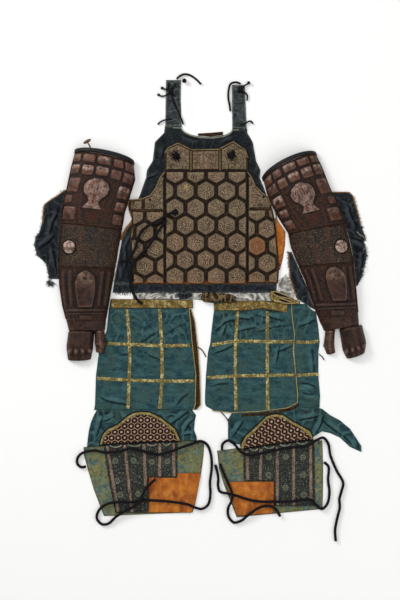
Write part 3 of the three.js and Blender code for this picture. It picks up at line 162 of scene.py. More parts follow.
ARM_RIGHT = rows("row outX outY inX inY height bulge",
    (0, 345, 441, 189, 366, 44, 23), (1, 366, 399, 201, 318, 48, 14), (2, 390, 336, 219, 276, 48, 8),
    (3, 414, 285, 238, 240, 46, 4), (4, 432, 234, 264, 200, 44, 2), (5, 447, 180, 273, 156, 43, 0),
    (6, 459, 126, 291, 111, 42, 0), (7, 465, 66, 315, 57, 39, 0), (8, 470, 9, 333, 3, 35, 0),
    (9, 474, -36, 351, -45, 31, 0), (10, 477, -75, 372, -93, 29, 0))
HAND_RIGHT = rows("row outX outY inX inY height bulge",
    (0, 484, -74.2, 419, -85.3, 28, 0), (1, 495, -116, 427, -139, 27, 0),
    (2, 498, -136, 431, -158, 25, -2), (3, 494, -157, 440, -175, 17, -4))
THUMB_RIGHT = rows("row outX outY inX inY height bulge",
    (0, 405, -87.7, 376, -92.7, 18, 0), (1, 403, -132, 370, -137, 17, 0),
    (2, 406, -157, 380, -162, 10, -3))
UPPER_PLATES = rows("left right top bottom shine",
    (-0.97, -0.74, 0.32, 0.72, 0.3), (-0.67, -0.27, 0.32, 0.72, 0.4), (-0.2, 0.25, 0.32, 0.72, 0.9),
    (0.33, 0.64, 0.32, 0.72, 0.2), (0.7, 0.97, 0.32, 0.76, 0.5), (-0.95, -0.7, 0.86, 1.36, 0.6),
    (-0.63, -0.27, 0.86, 1.36, 0.9), (-0.2, 0.19, 0.84, 1.3, 0.9), (0.26, 0.58, 0.86, 1.36, 0.3),
    (0.64, 0.94, 0.86, 1.4, 0.2), (-0.94, -0.6, 1.55, 2.3, 0.2), (0.6, 0.93, 1.6, 2.3, 0.9),
    (-0.96, -0.74, 2.48, 2.9, 0.1), (0.65, 0.93, 2.5, 3.05, 0.6), (-0.95, -0.55, 3.1, 3.85, 0.2),
    (0.66, 0.93, 3.25, 3.85, 0.3))
GOURD = rows("row half rise",
    (1.45, 0.1, 1.5), (1.62, 0.3, 5), (1.9, 0.4, 7), (2.25, 0.36, 6.5), (2.55, 0.2, 4.5),
    (2.72, 0.16, 3.5), (2.85, 0.2, 3), (3.1, 0.3, 2.5))
LEAF = rows("row half",
    (6.36, 0.06), (6.55, 0.28), (6.9, 0.38), (7.4, 0.38), (8.2, 0.3))
ARM_SPLINTS = rows("left right top bottom",
    (-0.9, -0.76, 6.35, 8.15), (-0.66, -0.5, 6.35, 8.15), (0.5, 0.66, 6.35, 8.15),
    (0.76, 0.9, 6.35, 8.15))
WRIST_PIECES = rows("left right top bottom across",
    (-0.93, 0.93, 8.32, 8.52, 4), (-0.32, 0.34, 8.78, 9.14, 2))
LOWER_WRIST_BAND = dict(left=-0.93, right=0.93, top=8.6, bottom=8.72)
SLEEVE_CLOTH_LEFT = rows("y left right",
    (330, -407, -401.6), (312, -429, -405.3), (297, -453, -408.4), (285, -468, -410.8),
    (228, -474, -418), (201, -483, -419.8), (192, -492, -420.3), (165, -498, -421.4),
    (135, -489, -422.8), (108, -462, -423.7), (63, -452, -423.2))
SLEEVE_FOLDS_LEFT = rows("x y turn length width rise",
    (-447, 235, 70, 110, 8, 8), (-465, 180, 40, 70, 8, 10), (-443, 120, 100, 90, 7, 7))
SLEEVE_CLOTH_OUTER = rows("y left right",
    (324, 397.5, 448), (312, 402.5, 459), (282, 416, 468), (225, 436, 483), (183, 448, 498),
    (174, 450.5, 492), (138, 458.5, 501), (105, 463, 495), (69, 466.5, 486), (42, 469, 472))
SLEEVE_FOLDS_OUTER = rows("x y turn length width rise",
    (447, 250, 110, 100, 8, 7), (470, 170, 150, 60, 7, 9), (478, 110, 80, 80, 7, 8))
SLEEVE_CLOTH_INNER = rows("y left right",
    (144, 264, 274.5), (111, 266, 289), (66, 270, 309), (36, 279, 321.5), (6, 290, 330.5),
    (-9, 310, 336), (-27, 340, 343.5))
SLEEVE_PIPING = (
    ((-403, 329), (-428, 312), (-452, 297), (-467, 285), (-470, 262), (-473, 229)),
    ((399, 323), (447, 323), (458, 312), (467, 282), (475, 254), (482, 225)),
    ((265, 143), (267, 111), (271, 66), (280, 36), (291, 6)),
)
APRON_LEFT = rows("y left right",
    (1, -268, -24), (-27, -273, -33), (-66, -277, -29), (-93, -280, -27), (-120, -291, -25),
    (-156, -303, -21), (-225, -312, -13), (-315, -315, -15), (-330, -318, -21))
APRON_RIGHT = rows("y left right",
    (-3, 42, 275), (-33, 42, 275), (-45, 40, 276), (-105, 33, 284), (-129, 31, 281), (-156, 24, 279.5),
    (-225, 18, 288), (-285, 15, 293), (-309, 15, 292), (-340, 24, 285))
APRON_RIGHT_HEM = rows("across y",
    (0, -318), (0.08, -333), (0.3, -339), (0.6, -335), (0.9, -325), (1, -313))
APRON_FOLDS_LEFT = rows("x y turn length width rise",
    (-150, -98, 28, 110, 10, 3), (-75, -75, 30, 80, 9, 2.5), (-222, -152, 8, 50, 8, 3),
    (-140, -160, -22, 90, 9, 2.5), (-250, -298, -16, 120, 9, 4.5), (-60, -290, 50, 80, 9, 3))
APRON_FOLDS_RIGHT = rows("x y turn length width rise",
    (75, -62, 30, 70, 7, 5), (120, -50, 8, 90, 7, 5), (68, -92, 70, 60, 7, 4),
    (130, -82, 12, 100, 7, 4), (215, -48, -14, 90, 7, 5), (210, -78, 10, 100, 7, 4),
    (70, -138, 24, 80, 8, 4.5), (250, -140, 28, 70, 7, 4.5), (225, -165, 80, 60, 7, 3.5),
    (60, -245, 4, 70, 8, 3))
BAND_LEFT = rows("x top bottom",
    (-267, 3, -25), (-140, 2, -24.5), (-21, 0, -25))
BAND_RIGHT = rows("x top bottom",
    (42, -11, -32), (120, -3, -32), (186, -3, -26), (262, -10, -38))
SIDE_LEFT = rows("y left right",
    (-27, -32.4, -25), (-66, -28.4, -14), (-93, -26.4, -11), (-120, -24.4, -8), (-156, -20.4, -4),
    (-225, -12.4, 1), (-315, -14.4, 3), (-329, -20, -9))
SIDE_RIGHT = rows("y left right",
    (-12, 276, 345), (-33, 276, 346), (-75, 281, 354), (-105, 285, 357), (-126, 283.5, 359),
    (-156, 282.5, 355), (-225, 289, 355), (-285, 294, 360), (-324, 294, 358.5))
SIDE_FOLDS = rows("x y turn length width rise",
    (318, -60, 20, 60, 8, 4), (330, -180, 96, 110, 8, 3), (322, -262, 168, 56, 7, 4),
    (326, -288, 172, 50, 6, 3))
LOWER_LEFT = rows("y left right",
    (-329.4, -309, -24), (-345, -318, -12), (-366, -327, -16), (-390, -333, -18), (-410, -336, -10),
    (-440, -339, -9))
LOWER_FOLDS_LEFT = rows("x y turn length width rise",
    (-308, -372, 70, 70, 7, 6), (-283, -352, 25, 60, 7, 5), (-68, -352, 35, 80, 7, 7),
    (-38, -372, 60, 60, 6, 8), (-38, -400, 10, 44, 6, 6))
LOWER_RIGHT = rows("x top bottom",
    (84, -358, -424), (96, -338, -430), (125, -338.5, -434), (178, -335.5, -431), (215, -331, -428),
    (250, -326, -421), (288, -315, -415), (295, -322.5, -414), (345, -322.5, -408), (366, -326, -394),
    (390, -345, -399), (420, -361, -413), (450, -386, -441), (484, -438, -456))
HEM_STRIP = ((126, -344), (178, -341), (215, -337), (250, -331), (284, -322), (291, -316), (293, -309))
LOWER_FOLDS_RIGHT = rows("x y turn length width rise",
    (325, -345, 12, 70, 7, 6), (352, -372, 60, 70, 7, 8), (405, -378, -38, 90, 8, 9),
    (452, -420, -50, 70, 7, 7), (108, -380, 60, 60, 7, 7))
WAISTBAND = rows("x top bottom",
    (-201, 21.5, 1.5), (-20, 21.5, 1.5), (40, 21.5, -2.5), (232, 21.5, -2.5), (238, 60, -2.5),
    (258, 78, -2.5), (266, 62, -2.5), (282, 18, -2.5))
BAND_FOLD = rows("x top bottom",
    (210, 27, 2), (228, 28, -9), (262, 12, -14), (284, 2, -14), (300, -4, -12))
FOLD_OPENING_UPPER = rows("x top bottom",
    (217, 24, 22), (225, 25.5, 14), (243, 20, 9), (262, 12, 5), (272, 6.5, 5))
FOLD_OPENING_LOWER = rows("x top bottom",
    (232, 4, 2), (240, 5.5, -4), (256, 0, -9.5), (270, -5, -10), (280, -8.5, -10))
NAVY_SCRAP = rows("x top bottom",
    (-68, 18, 12), (-58, 24, 3), (-44, 22, 2), (-32, 26, 5), (-22, 20, 12))
BELT_END = rows("x top bottom",
    (3, 12, 2), (12, 23, -6), (40, 22, -9), (58, 20, -3), (70, 20, -6), (96, 17, -7), (108, 10, -2))
SHIN_LEFT = rows("y left right",
    (-424, -350, 13), (-465, -348, 10.5), (-510, -336, 5), (-570, -318, -6), (-615, -301, -15),
    (-648, -288, -26))
KNEE_LEFT = rows("x top bottom",
    (-301, -429, -434), (-291, -399, -434), (-276, -385, -433), (-246, -372, -431), (-219, -348, -430),
    (-198, -337, -429), (-177, -334, -428), (-150, -336, -427), (-120, -350, -426), (-96, -368, -425),
    (-75, -383, -424), (-63, -409, -423), (-59, -418, -423))
MAIL_LEFT_A = rows("y left right",
    (-434.5, -289, -155), (-500, -280, -155), (-560, -270, -155), (-638, -254, -155))
MAIL_LEFT_B = rows("y left right",
    (-426, -160, -67), (-531, -160, -68))
SPLINTS_LEFT = rows("topX topY footX footY half",
    (-279, -436, -245, -637, 8), (-226, -433, -204, -637, 8), (-168, -431, -163, -560, 8),
    (-121, -428, -121, -530, 8), (-80, -427, -78, -530, 8))
LEATHER_LEFT = rows("x top bottom",
    (-154.5, -532, -638), (-67.2, -532, -638), (-66.6, -518, -638), (-25, -518, -638),
    (-13, -518, -600), (2, -518, -528))
SHIN_RIGHT = rows("y left right",
    (-427, 51, 367), (-453, 51, 368), (-504, 57, 369), (-555, 72, 369), (-600, 90, 368),
    (-652, 110, 366))
KNEE_RIGHT = rows("x top bottom",
    (122, -439, -448), (125, -420, -447), (138, -405, -445), (171, -375, -440), (198, -348, -436),
    (213, -343, -434), (228, -341, -432), (249, -343.5, -429), (273, -360, -426), (306, -378, -422),
    (330, -390, -419), (339, -411, -418))
MAIL_RIGHT_A = rows("y left right",
    (-434, 130, 226), (-450, 130, 226), (-543, 131, 226))
MAIL_RIGHT_B = rows("y left right",
    (-420, 223, 343), (-618, 223, 345))
SPLINTS_RIGHT = rows("topX topY footX footY half",
    (141, -452, 143, -542, 8), (183, -445, 181, -541, 8), (231, -438, 232, -617, 8),
    (280, -432, 281, -617, 8), (331, -428, 333, -600, 8))
LEATHER_RIGHT = rows("x top bottom",
    (80, -544, -552), (94, -544, -600), (112, -544, -648), (222, -544, -640))


def smooth(value, low, high):
    """From 0 at low to 1 at high, with a soft step between."""
    t = np.clip((value - low) / (high - low), 0, 1)
    return t * t * (3 - 2 * t)


def hump(value, width, power=2):
    """1 where the value is 0, and falling off over that width to both sides."""
    return np.exp(-((value / width) ** power))


def hashed(a, b, seed):
    """A number from 0 to 1 that looks random, the same for the same a, b and seed."""
    return np.modf(np.abs(np.sin(a * 127.1 + b * 311.7 + seed * 74.7) * 43758.5453))[0]


def grain(x, y, size, seed):
    """Smooth noise from -1 to 1 with bumps of about that size."""
    gx, gy = x / size, y / size
    ix, iy = np.floor(gx), np.floor(gy)
    fx, fy = gx - ix, gy - iy
    fx, fy = fx * fx * (3 - 2 * fx), fy * fy * (3 - 2 * fy)
    low = hashed(ix, iy, seed) * (1 - fx) + hashed(ix + 1, iy, seed) * fx
    high = hashed(ix, iy + 1, seed) * (1 - fx) + hashed(ix + 1, iy + 1, seed) * fx
    return (low * (1 - fy) + high * fy) * 2 - 1


def creases(x, y, size, seed):
    """Sharp little ridges, as in cloth that was folded away for long."""
    bent = grain(x, y, size * 2.2, seed + 5) * size * 0.8
    ridge = 1 - np.abs(grain(x + bent, (y - bent) * 0.75, size, seed))
    return ridge ** 5


def soften(values, times):
    """A grid of heights, averaged with its neighbours that many times."""
    for _ in range(times):
        wide = np.pad(values, 1, mode="edge")
        values = (wide[:-2, 1:-1] + wide[2:, 1:-1] + wide[1:-1, :-2] + wide[1:-1, 2:]) / 4
    return values


def relief_of(heights, depth=0.9):
    """0 in a hollow, 0.5 on level cloth and 1 on a ridge."""
    return 0.5 + 0.5 * np.clip((heights - soften(heights, 16)) / depth, -1, 1)


def fold_height(folds, x, y):
    """The rise of all folds of a table. Each wanders a little and fades out at its ends."""
    height = np.zeros_like(x)
    for fold in each(folds):
        turn = math.radians(fold["turn"])
        dx, dy = x - fold["x"], y - fold["y"]
        along = dx * math.cos(turn) + dy * math.sin(turn)
        aside = dy * math.cos(turn) - dx * math.sin(turn)
        aside = aside + FOLD["wander"] * grain(along, aside * 0, FOLD["wander_size"], fold["x"])
        reach = np.clip(np.abs(along) / (fold["length"] * FOLD["reach"]), 0, 1)
        fade = (1 - reach * reach) ** 2
        side = aside / fold["width"]
        swell = FOLD["swell"] * hump(side, FOLD["swell_width"])
        groove = FOLD["groove"] * hump(side + FOLD["groove_place"], FOLD["groove_width"])
        height += fold["rise"] * fade * (swell - groove)
    return height


def slant(start, rise, reach=1.0):
    """A panel's end that rises in a straight line and stays level from 1 / reach of its width on."""
    def end(u):
        return start + rise * np.minimum(u * reach, 1)
    return end


def row_panel(table, top=None, bottom=None):
    """A flat panel whose rows give its left and right edge at each height."""
    first, last = table["y"][0], table["y"][-1]

    def plan(u, v):
        start = top(u) if top else first
        end = bottom(u) if bottom else last
        y = start + (end - start) * v
        left = lookup(table, "y", "left", y)
        right = lookup(table, "y", "right", y)
        return left + (right - left) * u, y + u * 0

    plan.long = (abs(last - first), float(np.max(table["right"] - table["left"])))
    return plan


def column_panel(table):
    """A flat panel whose columns give its top and bottom edge at each place across."""
    def plan(u, v):
        x = table["x"][0] + (table["x"][-1] - table["x"][0]) * u
        top = lookup(table, "x", "top", x)
        bottom = lookup(table, "x", "bottom", x)
        return x + v * 0, top + (bottom - top) * v

    plan.long = (float(np.max(table["top"] - table["bottom"])), float(table["x"][-1] - table["x"][0]))
    return plan


def in_row_frame(points):
    """Points on the sheet in millimetres, as metres in the row frame."""
    points = np.asarray(points, dtype=float)
    return (points + np.array([SHEET_SHIFT[0], SHEET_SHIFT[1], 0.0])) * MM


def add_object(name, points, faces, look, masks=None):
    """A mesh object from points in millimetres on the sheet, riding on the set."""
    material, slot = look
    mesh = bpy.data.meshes.new(name)
    mesh.from_pydata(in_row_frame(points).tolist(), [], faces)
    layers = dict(relief=np.full(len(points), 0.5))
    layers.update(masks or {})
    for key, values in layers.items():
        layer = mesh.attributes.new(key, "FLOAT", "POINT")
        layer.data.foreach_set("value", np.asarray(values, dtype=np.float32).ravel())
    mesh.polygons.foreach_set("use_smooth", [True] * len(mesh.polygons))
    mesh.materials.append(material)
    mesh.validate()
    piece = bpy.data.objects.new(name, mesh)
    bpy.context.scene.collection.objects.link(piece)
    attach(piece, "root")
    return piece


def grid_quads(down, across, start=0):
    j, i = np.meshgrid(np.arange(down - 1), np.arange(across - 1), indexing="ij")
    a = start + j * across + i
    return np.stack([a, a + across, a + across + 1, a + 1], axis=-1).reshape(-1, 4).tolist()


def rim_of(down, across):
    """Indices round a grid's border, in order."""
    first = list(range(across))
    right = [j * across + across - 1 for j in range(1, down)]
    last = [(down - 1) * across + i for i in range(across - 2, -1, -1)]
    left = [j * across for j in range(down - 2, 0, -1)]
    return first + right + last + left


def flipped(faces):
    return [face[::-1] for face in faces]


def wall_faces(upper, lower):
    """Faces that join one ring of points to another, point by point."""
    turns = len(upper)
    return [[upper[k], lower[k], lower[(k + 1) % turns], upper[(k + 1) % turns]] for k in range(turns)]


def shell_faces(down, across):
    """Two grids of points, the second inside or under the first, closed round their rims."""
    count = down * across
    rim = rim_of(down, across)
    faces = flipped(grid_quads(down, across)) + grid_quads(down, across, count)
    return faces + wall_faces(rim, [index + count for index in rim])


def flat_cloth(name, plan, look, level=0.0, wall=CLOTH_WALL, height=None, masks=None, cell=CELL,
               node=None):
    """Cloth lying on its level: a dense grid with a rounded edge, closed underneath.

    A piece whose name starts with look_ stands for the node that the rest of its name gives.
    """
    down = max(int(plan.long[0] / cell), 3) + 1
    across = max(int(plan.long[1] / cell), 3) + 1
    v, u = np.meshgrid(np.linspace(0, 1, down), np.linspace(0, 1, across), indexing="ij")
    x, y = plan(u, v)
    wide = np.hypot(x[:, -1] - x[:, 0], y[:, -1] - y[:, 0])[:, None]
    tall = np.hypot(x[-1] - x[0], y[-1] - y[0])[None, :]
    edge = np.minimum(np.minimum(u, 1 - u) * wide, np.minimum(v, 1 - v) * tall)
    rounded = np.sqrt(np.clip(1 - (1 - np.clip(edge / EDGE_ROUND, 0, 1)) ** 2, 0, 1))
    rise = height(x, y, edge) if height else 0 * x
    z = level + wall * (EDGE_SHARE + (1 - EDGE_SHARE) * rounded)
    z = np.maximum(z + rise * smooth(edge, 0, EDGE_ROUND * 1.6), level + LEAST_LIFT)
    top = np.stack([x, y, z], axis=-1).reshape(-1, 3)
    rim = rim_of(down, across)
    under = top[rim].copy()
    under[:, 2] = level
    ring = list(range(len(top), len(top) + len(rim)))
    faces = flipped(grid_quads(down, across)) + wall_faces(rim, ring) + [ring[::-1]]
    values = {key: rule(x, y, edge) for key, rule in (masks or {}).items()}
    values.update(edge=edge, relief=relief_of(level + wall + rise))
    layers = {}
    for key, value in values.items():
        flat = np.asarray(value, dtype=float).reshape(-1)
        layers[key] = np.concatenate([flat, flat[rim]])
    piece = add_object(name, np.concatenate([top, under]), faces, look, layers)
    if node is None and name.startswith("look_"):
        node = name.removeprefix("look_")
    if node:
        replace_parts(piece, node)


def hex_cells(x, y, size, origin, slope=0.0):
    """Distance from the nearest plate's middle (1 at its edge) and a number from 0 to 1 for each plate."""
    nearest = np.full_like(x, 1e9)
    tone = np.zeros_like(x)
    middle_row = np.round((origin[1] - y + (x - origin[0]) * slope) / size["pitch_y"])
    for step in (-1, 0, 1):
        row = middle_row + step
        stagger = np.mod(np.abs(row), 2) * 0.5
        column = np.round((x - origin[0]) / size["pitch_x"] - stagger)
        cx = origin[0] + (column + stagger) * size["pitch_x"]
        cy = origin[1] - row * size["pitch_y"] + (cx - origin[0]) * slope
        dx, dy = np.abs(x - cx), np.abs(y - cy)
        sharp = np.maximum(dx, dx / 2 + dy * HEX_SLANT) / size["half"]
        circle = np.hypot(dx, dy) / (size["half"] * HEX_ROUND_REACH)
        reach = sharp * (1 - HEX_ROUNDNESS) + circle * HEX_ROUNDNESS
        closer = reach < nearest
        nearest = np.where(closer, reach, nearest)
        tone = np.where(closer, hashed(row, column, 3), tone)
    return nearest, tone


def tube_part(points, radius, sides=8, taper=None):
    """Points and faces of a closed tube along a line of points."""
    line = np.asarray(points, dtype=float)
    ahead = np.gradient(line, axis=0)
    ahead /= np.maximum(np.linalg.norm(ahead, axis=1, keepdims=True), 1e-9)
    aside = np.cross(ahead, np.array([0.0, 0.0, 1.0]))
    weak = np.linalg.norm(aside, axis=1) < 1e-3
    aside[weak] = np.array([1.0, 0.0, 0.0])
    aside /= np.linalg.norm(aside, axis=1, keepdims=True)
    above = np.cross(aside, ahead)
    angle = np.linspace(0, 2 * math.pi, sides, endpoint=False)
    thick = radius * (np.ones(len(line)) if taper is None else np.asarray(taper))
    ring = np.cos(angle)[None, :, None] * aside[:, None] + np.sin(angle)[None, :, None] * above[:, None]
    verts = (line[:, None] + ring * thick[:, None, None]).reshape(-1, 3)
    faces = []
    for j in range(len(line) - 1):
        for i in range(sides):
            k = (i + 1) % sides
            faces.append([j * sides + i, j * sides + k, (j + 1) * sides + k, (j + 1) * sides + i])
    faces.append(list(range(sides))[::-1])
    faces.append([(len(line) - 1) * sides + i for i in range(sides)])
    return verts, faces


def join_parts(parts):
    """Points and faces of several parts, as one mesh."""
    verts, faces, start = [], [], 0
    for points, polygons in parts:
        verts.append(points)
        faces += [[index + start for index in polygon] for polygon in polygons]
        start += len(points)
    return np.concatenate(verts), faces


def tubes(name, lines, radius, look):
    verts, faces = join_parts([tube_part(line, radius) for line in lines])
    add_object(name, verts, faces, look)


def threads(name, roots, look, seed, length, radius, spread):
    """Frayed ends: each root is (x, y, z, direction in degrees)."""
    chance = np.random.default_rng(seed)
    parts = []
    for x, y, z, turn in roots:
        reach = chance.uniform(*length)
        lean = math.radians(turn) + chance.normal(0, spread)
        curl = chance.normal(0, THREAD["curl"])
        t = np.linspace(0, 1, THREAD["points"])
        bend = lean + curl * t
        floor = np.maximum(z * (1 - t) + THREAD["lift"], THREAD["floor"])
        line = np.stack([
            x + np.cumsum(np.cos(bend)) * reach / THREAD["points"],
            y + np.cumsum(np.sin(bend)) * reach / THREAD["points"],
            floor + chance.uniform(0, THREAD["arch"]) * np.sin(t * THREAD["half_turn"]),
        ], axis=-1)
        parts.append(tube_part(line, radius, 4, 1 - THREAD["taper"] * t))
    verts, faces = join_parts(parts)
    add_object(name, verts, faces, look)


def curve_through(route, steps):
    """A smooth line through given points, centripetal as the solids' own."""
    p = np.asarray(route, dtype=float)
    p = np.concatenate([[2 * p[0] - p[1]], p, [2 * p[-1] - p[-2]]])
    out = []
    for k in range(1, len(p) - 2):
        a, b, c, d = p[k - 1], p[k], p[k + 1], p[k + 2]
        t1 = np.linalg.norm(b - a) ** 0.5
        t2 = t1 + np.linalg.norm(c - b) ** 0.5
        t3 = t2 + np.linalg.norm(d - c) ** 0.5
        last = k == len(p) - 3
        for t in np.linspace(t1, t2, steps + 1)[: None if last else -1]:
            a1 = a * (t1 - t) / t1 + b * t / t1
            a2 = b * (t2 - t) / (t2 - t1) + c * (t - t1) / (t2 - t1)
            a3 = c * (t3 - t) / (t3 - t2) + d * (t - t2) / (t3 - t2)
            b1 = a1 * (t2 - t) / t2 + a2 * t / t2
            b2 = a2 * (t3 - t) / (t3 - t1) + a3 * (t - t1) / (t3 - t1)
            out.append(b1 * (t2 - t) / (t2 - t1) + b2 * (t - t1) / (t2 - t1))
    return np.array(out)


# Materials


def rgb(text):
    """A colour written as six hexadecimal digits, as linear numbers."""
    parts = [int(text[i:i + 2], 16) / 255 for i in (0, 2, 4)]
    return tuple(c / 12.92 if c <= 0.04045 else ((c + 0.055) / 1.055) ** 2.4 for c in parts) + (1.0,)


class Paint:
    """A node material that is put together step by step. Sizes are in millimetres."""

    def __init__(self, name, roughness, metallic=0.0, gloss=0.15):
        self.material = bpy.data.materials.new(name)
        self.material.use_nodes = True
        self.tree = self.material.node_tree
        self.shader = self.tree.nodes["Principled BSDF"]
        self.shader.inputs["Roughness"].default_value = roughness
        self.shader.inputs["Metallic"].default_value = metallic
        self.shader.inputs["Specular IOR Level"].default_value = gloss
        self.place = self.tree.nodes.new("ShaderNodeTexCoord").outputs["Object"]

    def feed(self, socket, value):
        """Gives a socket another node's output, or a plain number or colour."""
        if isinstance(value, bpy.types.NodeSocket):
            self.tree.links.new(value, socket)
        else:
            socket.default_value = value

    def node(self, kind, **inputs):
        made = self.tree.nodes.new(kind)
        for key, value in inputs.items():
            self.feed(made.inputs[key.replace("_", " ")], value)
        return made

    def noise(self, size, detail=3.0, stretch=None):
        place = self.place
        if stretch:
            place = self.node("ShaderNodeMapping", Scale=stretch, Vector=place).outputs["Vector"]
        made = self.node("ShaderNodeTexNoise", Scale=1 / (size * MM), Detail=detail, Roughness=0.6,
                         Vector=place)
        return made.outputs["Fac"]

    def cells(self, size, feature="F1", randomness=1.0):
        made = self.node("ShaderNodeTexVoronoi", Scale=1 / (size * MM), Randomness=randomness,
                         Vector=self.place)
        made.feature = feature
        return made.outputs["Distance"]

    def waves(self, size, direction, distortion=0.0):
        """Bands that are one size apart: at scale 1 the bands of the node are 0.314 apart."""
        made = self.node("ShaderNodeTexWave", Scale=0.314 / (size * MM), Distortion=distortion, Detail=1.0,
                         Vector=self.place)
        made.bands_direction = direction
        return made.outputs["Fac"]

    def mask(self, key):
        made = self.tree.nodes.new("ShaderNodeAttribute")
        made.attribute_name = key
        return made.outputs["Fac"]

    def north(self):
        """Metres towards the neck."""
        return self.node("ShaderNodeSeparateXYZ", Vector=self.place).outputs["Y"]

    def band(self, value, low, high, start=0.0, end=1.0):
        """From start to end as the value goes from low to high."""
        made = self.node("ShaderNodeMapRange", Value=value, From_Min=low, From_Max=high, To_Min=start,
                         To_Max=end)
        return made.outputs["Result"]

    def math(self, operation, first, second):
        made = self.tree.nodes.new("ShaderNodeMath")
        made.operation = operation
        self.feed(made.inputs[0], first)
        self.feed(made.inputs[1], second)
        return made.outputs["Value"]

    def times(self, first, second):
        return self.math("MULTIPLY", first, second)

    def mix(self, factor, first, second):
        made = self.tree.nodes.new("ShaderNodeMix")
        made.data_type = "RGBA"
        for place, value in ((0, factor), (6, first), (7, second)):
            self.feed(made.inputs[place], value)
        return made.outputs[2]

    def blotch(self, base, tint, size, detail, low, high, share=1.0, stretch=None, within=None):
        """A tint over the base as noise of that size goes from low to high, and only within a factor."""
        where = self.band(self.noise(size, detail, stretch), low, high, 0.0, share)
        if within is not None:
            where = self.times(within, where)
        return self.mix(where, base, rgb(tint))

    def shade(self, base, tint, key, low, high, share=1.0):
        """A tint over the base as a mask of the mesh goes from low to high."""
        return self.mix(self.band(self.mask(key), low, high, 0.0, share), base, rgb(tint))

    def painted_shade_and_highlight(self, base, hollow, ridge, dark, light):
        """Painted shade in the hollows and painted highlight on the ridges of the cloth's own shape."""
        base = self.shade(base, hollow, "relief", 0.46, 0.1, dark)
        return self.shade(base, ridge, "relief", 0.56, 0.95, light)

    def weave(self, thread):
        return self.times(self.waves(thread, "X"), self.waves(thread, "Y"))

    def woven(self, thread, size, detail, height):
        """The weave over low bumps of that size and height."""
        return self.math("ADD", self.weave(thread), self.band(self.noise(size, detail), 0, 1, 0, height))

    def done(self, base, height, strength, depth):
        """The material with its colour and its fine relief."""
        self.feed(self.shader.inputs["Base Color"], base)
        made = self.node("ShaderNodeBump", Strength=strength, Distance=depth * MM, Height=height)
        self.feed(self.shader.inputs["Normal"], made.outputs["Normal"])
        return self.material


def cloth_paint(name, dark, light, ridge, wear=None, mottle=35, thread=1.6, speck=None, streak=(1, 1, 1),
                tint=None, coarse=0.45, upper=None, hollow="07080a"):
    """Cloth in two tones, with the specks, tint, worn edge and tone of its upper end that the call gives. Its
    hollow colour is painted shade in its folds; its ridge colour gives pale flecks and the painted highlight
    on the folds' ridges.
    """
    paint = Paint(name, 0.92)
    base = paint.mix(paint.band(paint.noise(mottle, 6, streak), 0.40, 0.60), rgb(dark), rgb(light))
    if upper:
        base = paint.mix(paint.band(paint.north(), 0.28, 0.40, 0.0, 0.8), base, rgb(upper))
    if speck:
        base = paint.blotch(base, speck, 3.4, 2, 0.54, 0.62)
    if tint:
        base = paint.blotch(base, tint, 52, 4, 0.46, 0.62, 0.7)
    base = paint.blotch(base, ridge, 3.4, 4, 0.46, 0.66, coarse, (0.4, 1.8, 1))
    # Painted shade in the folds' hollows and painted highlight on their ridges.
    base = paint.painted_shade_and_highlight(base, hollow, ridge, 0.85, 0.5)
    if wear:
        rubbed = paint.band(paint.mask("edge"), 7, 0.5, 0.0, 0.9)
        base = paint.blotch(base, wear, 9, 3, 0.35, 0.6, within=rubbed)
    base = paint.blotch(base, dark, 1.6, 2, 0.35, 0.65, coarse)
    return paint.done(base, paint.woven(thread, 5, 4, 1.6), 0.7, 0.7)


def plated_paint():
    """Figured silk over hexagonal plates: worn on the plates, painted shade round each plate's rim, dark
    between them, redder lower down.
    """
    paint = Paint("plated_brocade", 0.85)
    wander = paint.band(paint.noise(90, 3), 0.3, 0.7, -0.08, 0.08)
    rust = paint.band(paint.math("ADD", paint.north(), wander), 0.26, 0.03)
    patch = paint.band(paint.noise(24, 5), 0.38, 0.62)
    upper = paint.mix(patch, rgb("3a2b21"), rgb("655342"))
    lower = paint.mix(patch, rgb("38241a"), rgb("64432f"))
    base = paint.mix(rust, upper, lower)
    base = paint.shade(base, "4d4426", "tone", 0.55, 1, 0.35)
    base = paint.shade(base, "6b4a38", "tone", 0.3, 0, 0.35)
    flowers = paint.band(paint.cells(12, randomness=0.8), 0.2, 0.45, 0.9, 0.0)
    base = paint.blotch(base, "7d6c46", 3.4, 3, 0.44, 0.54, within=flowers)
    middle = paint.band(paint.mask("plate"), 0.97, 0.6)
    base = paint.blotch(base, "b3a088", 3.2, 3, 0.52, 0.59, 0.85, within=middle)
    base = paint.blotch(base, "1e150f", 2.6, 2, 0.45, 0.34, 0.8)
    rubbed = paint.band(paint.noise(13, 4), 0.36, 0.6, 0.35, 0.8)
    base = paint.mix(paint.times(paint.mask("warm"), rubbed), base, rgb("824a24"))
    base = paint.mix(paint.times(paint.mask("motif"), 0.85), base, rgb("b39a5c"))
    # Painted shade: darker towards each plate's rim, where the silk dips into the gaps.
    base = paint.shade(base, "1c120c", "plate", 0.86, 1.0, 0.85)
    between = paint.mix(paint.band(paint.noise(8, 3), 0.42, 0.6), rgb("261a12"), rgb("47352a"))
    base = paint.mix(paint.band(paint.mask("plate"), 1.02, 1.07), base, between)
    foot = paint.band(paint.north(), 0.058, 0.047)
    base = paint.blotch(base, "8a4f22", 15, 3, 0.42, 0.58, within=foot)
    seams = paint.band(paint.mask("plate"), 1.1, 1.16)
    base = paint.blotch(base, "4a3522", 6, 3, 0.4, 0.6, within=seams)
    worn_edge = paint.band(paint.mask("edge"), 4, 0.5)
    base = paint.blotch(base, "6e4f2a", 7, 3, 0.4, 0.6, within=worn_edge)
    # Painted shade in the hollows and painted highlight on the ridges of the relief.
    base = paint.painted_shade_and_highlight(base, "0d0805", "9a8a6c", 0.7, 0.25)
    return paint.done(base, paint.woven(1.8, 4, 4, 2.0), 0.8, 0.8)


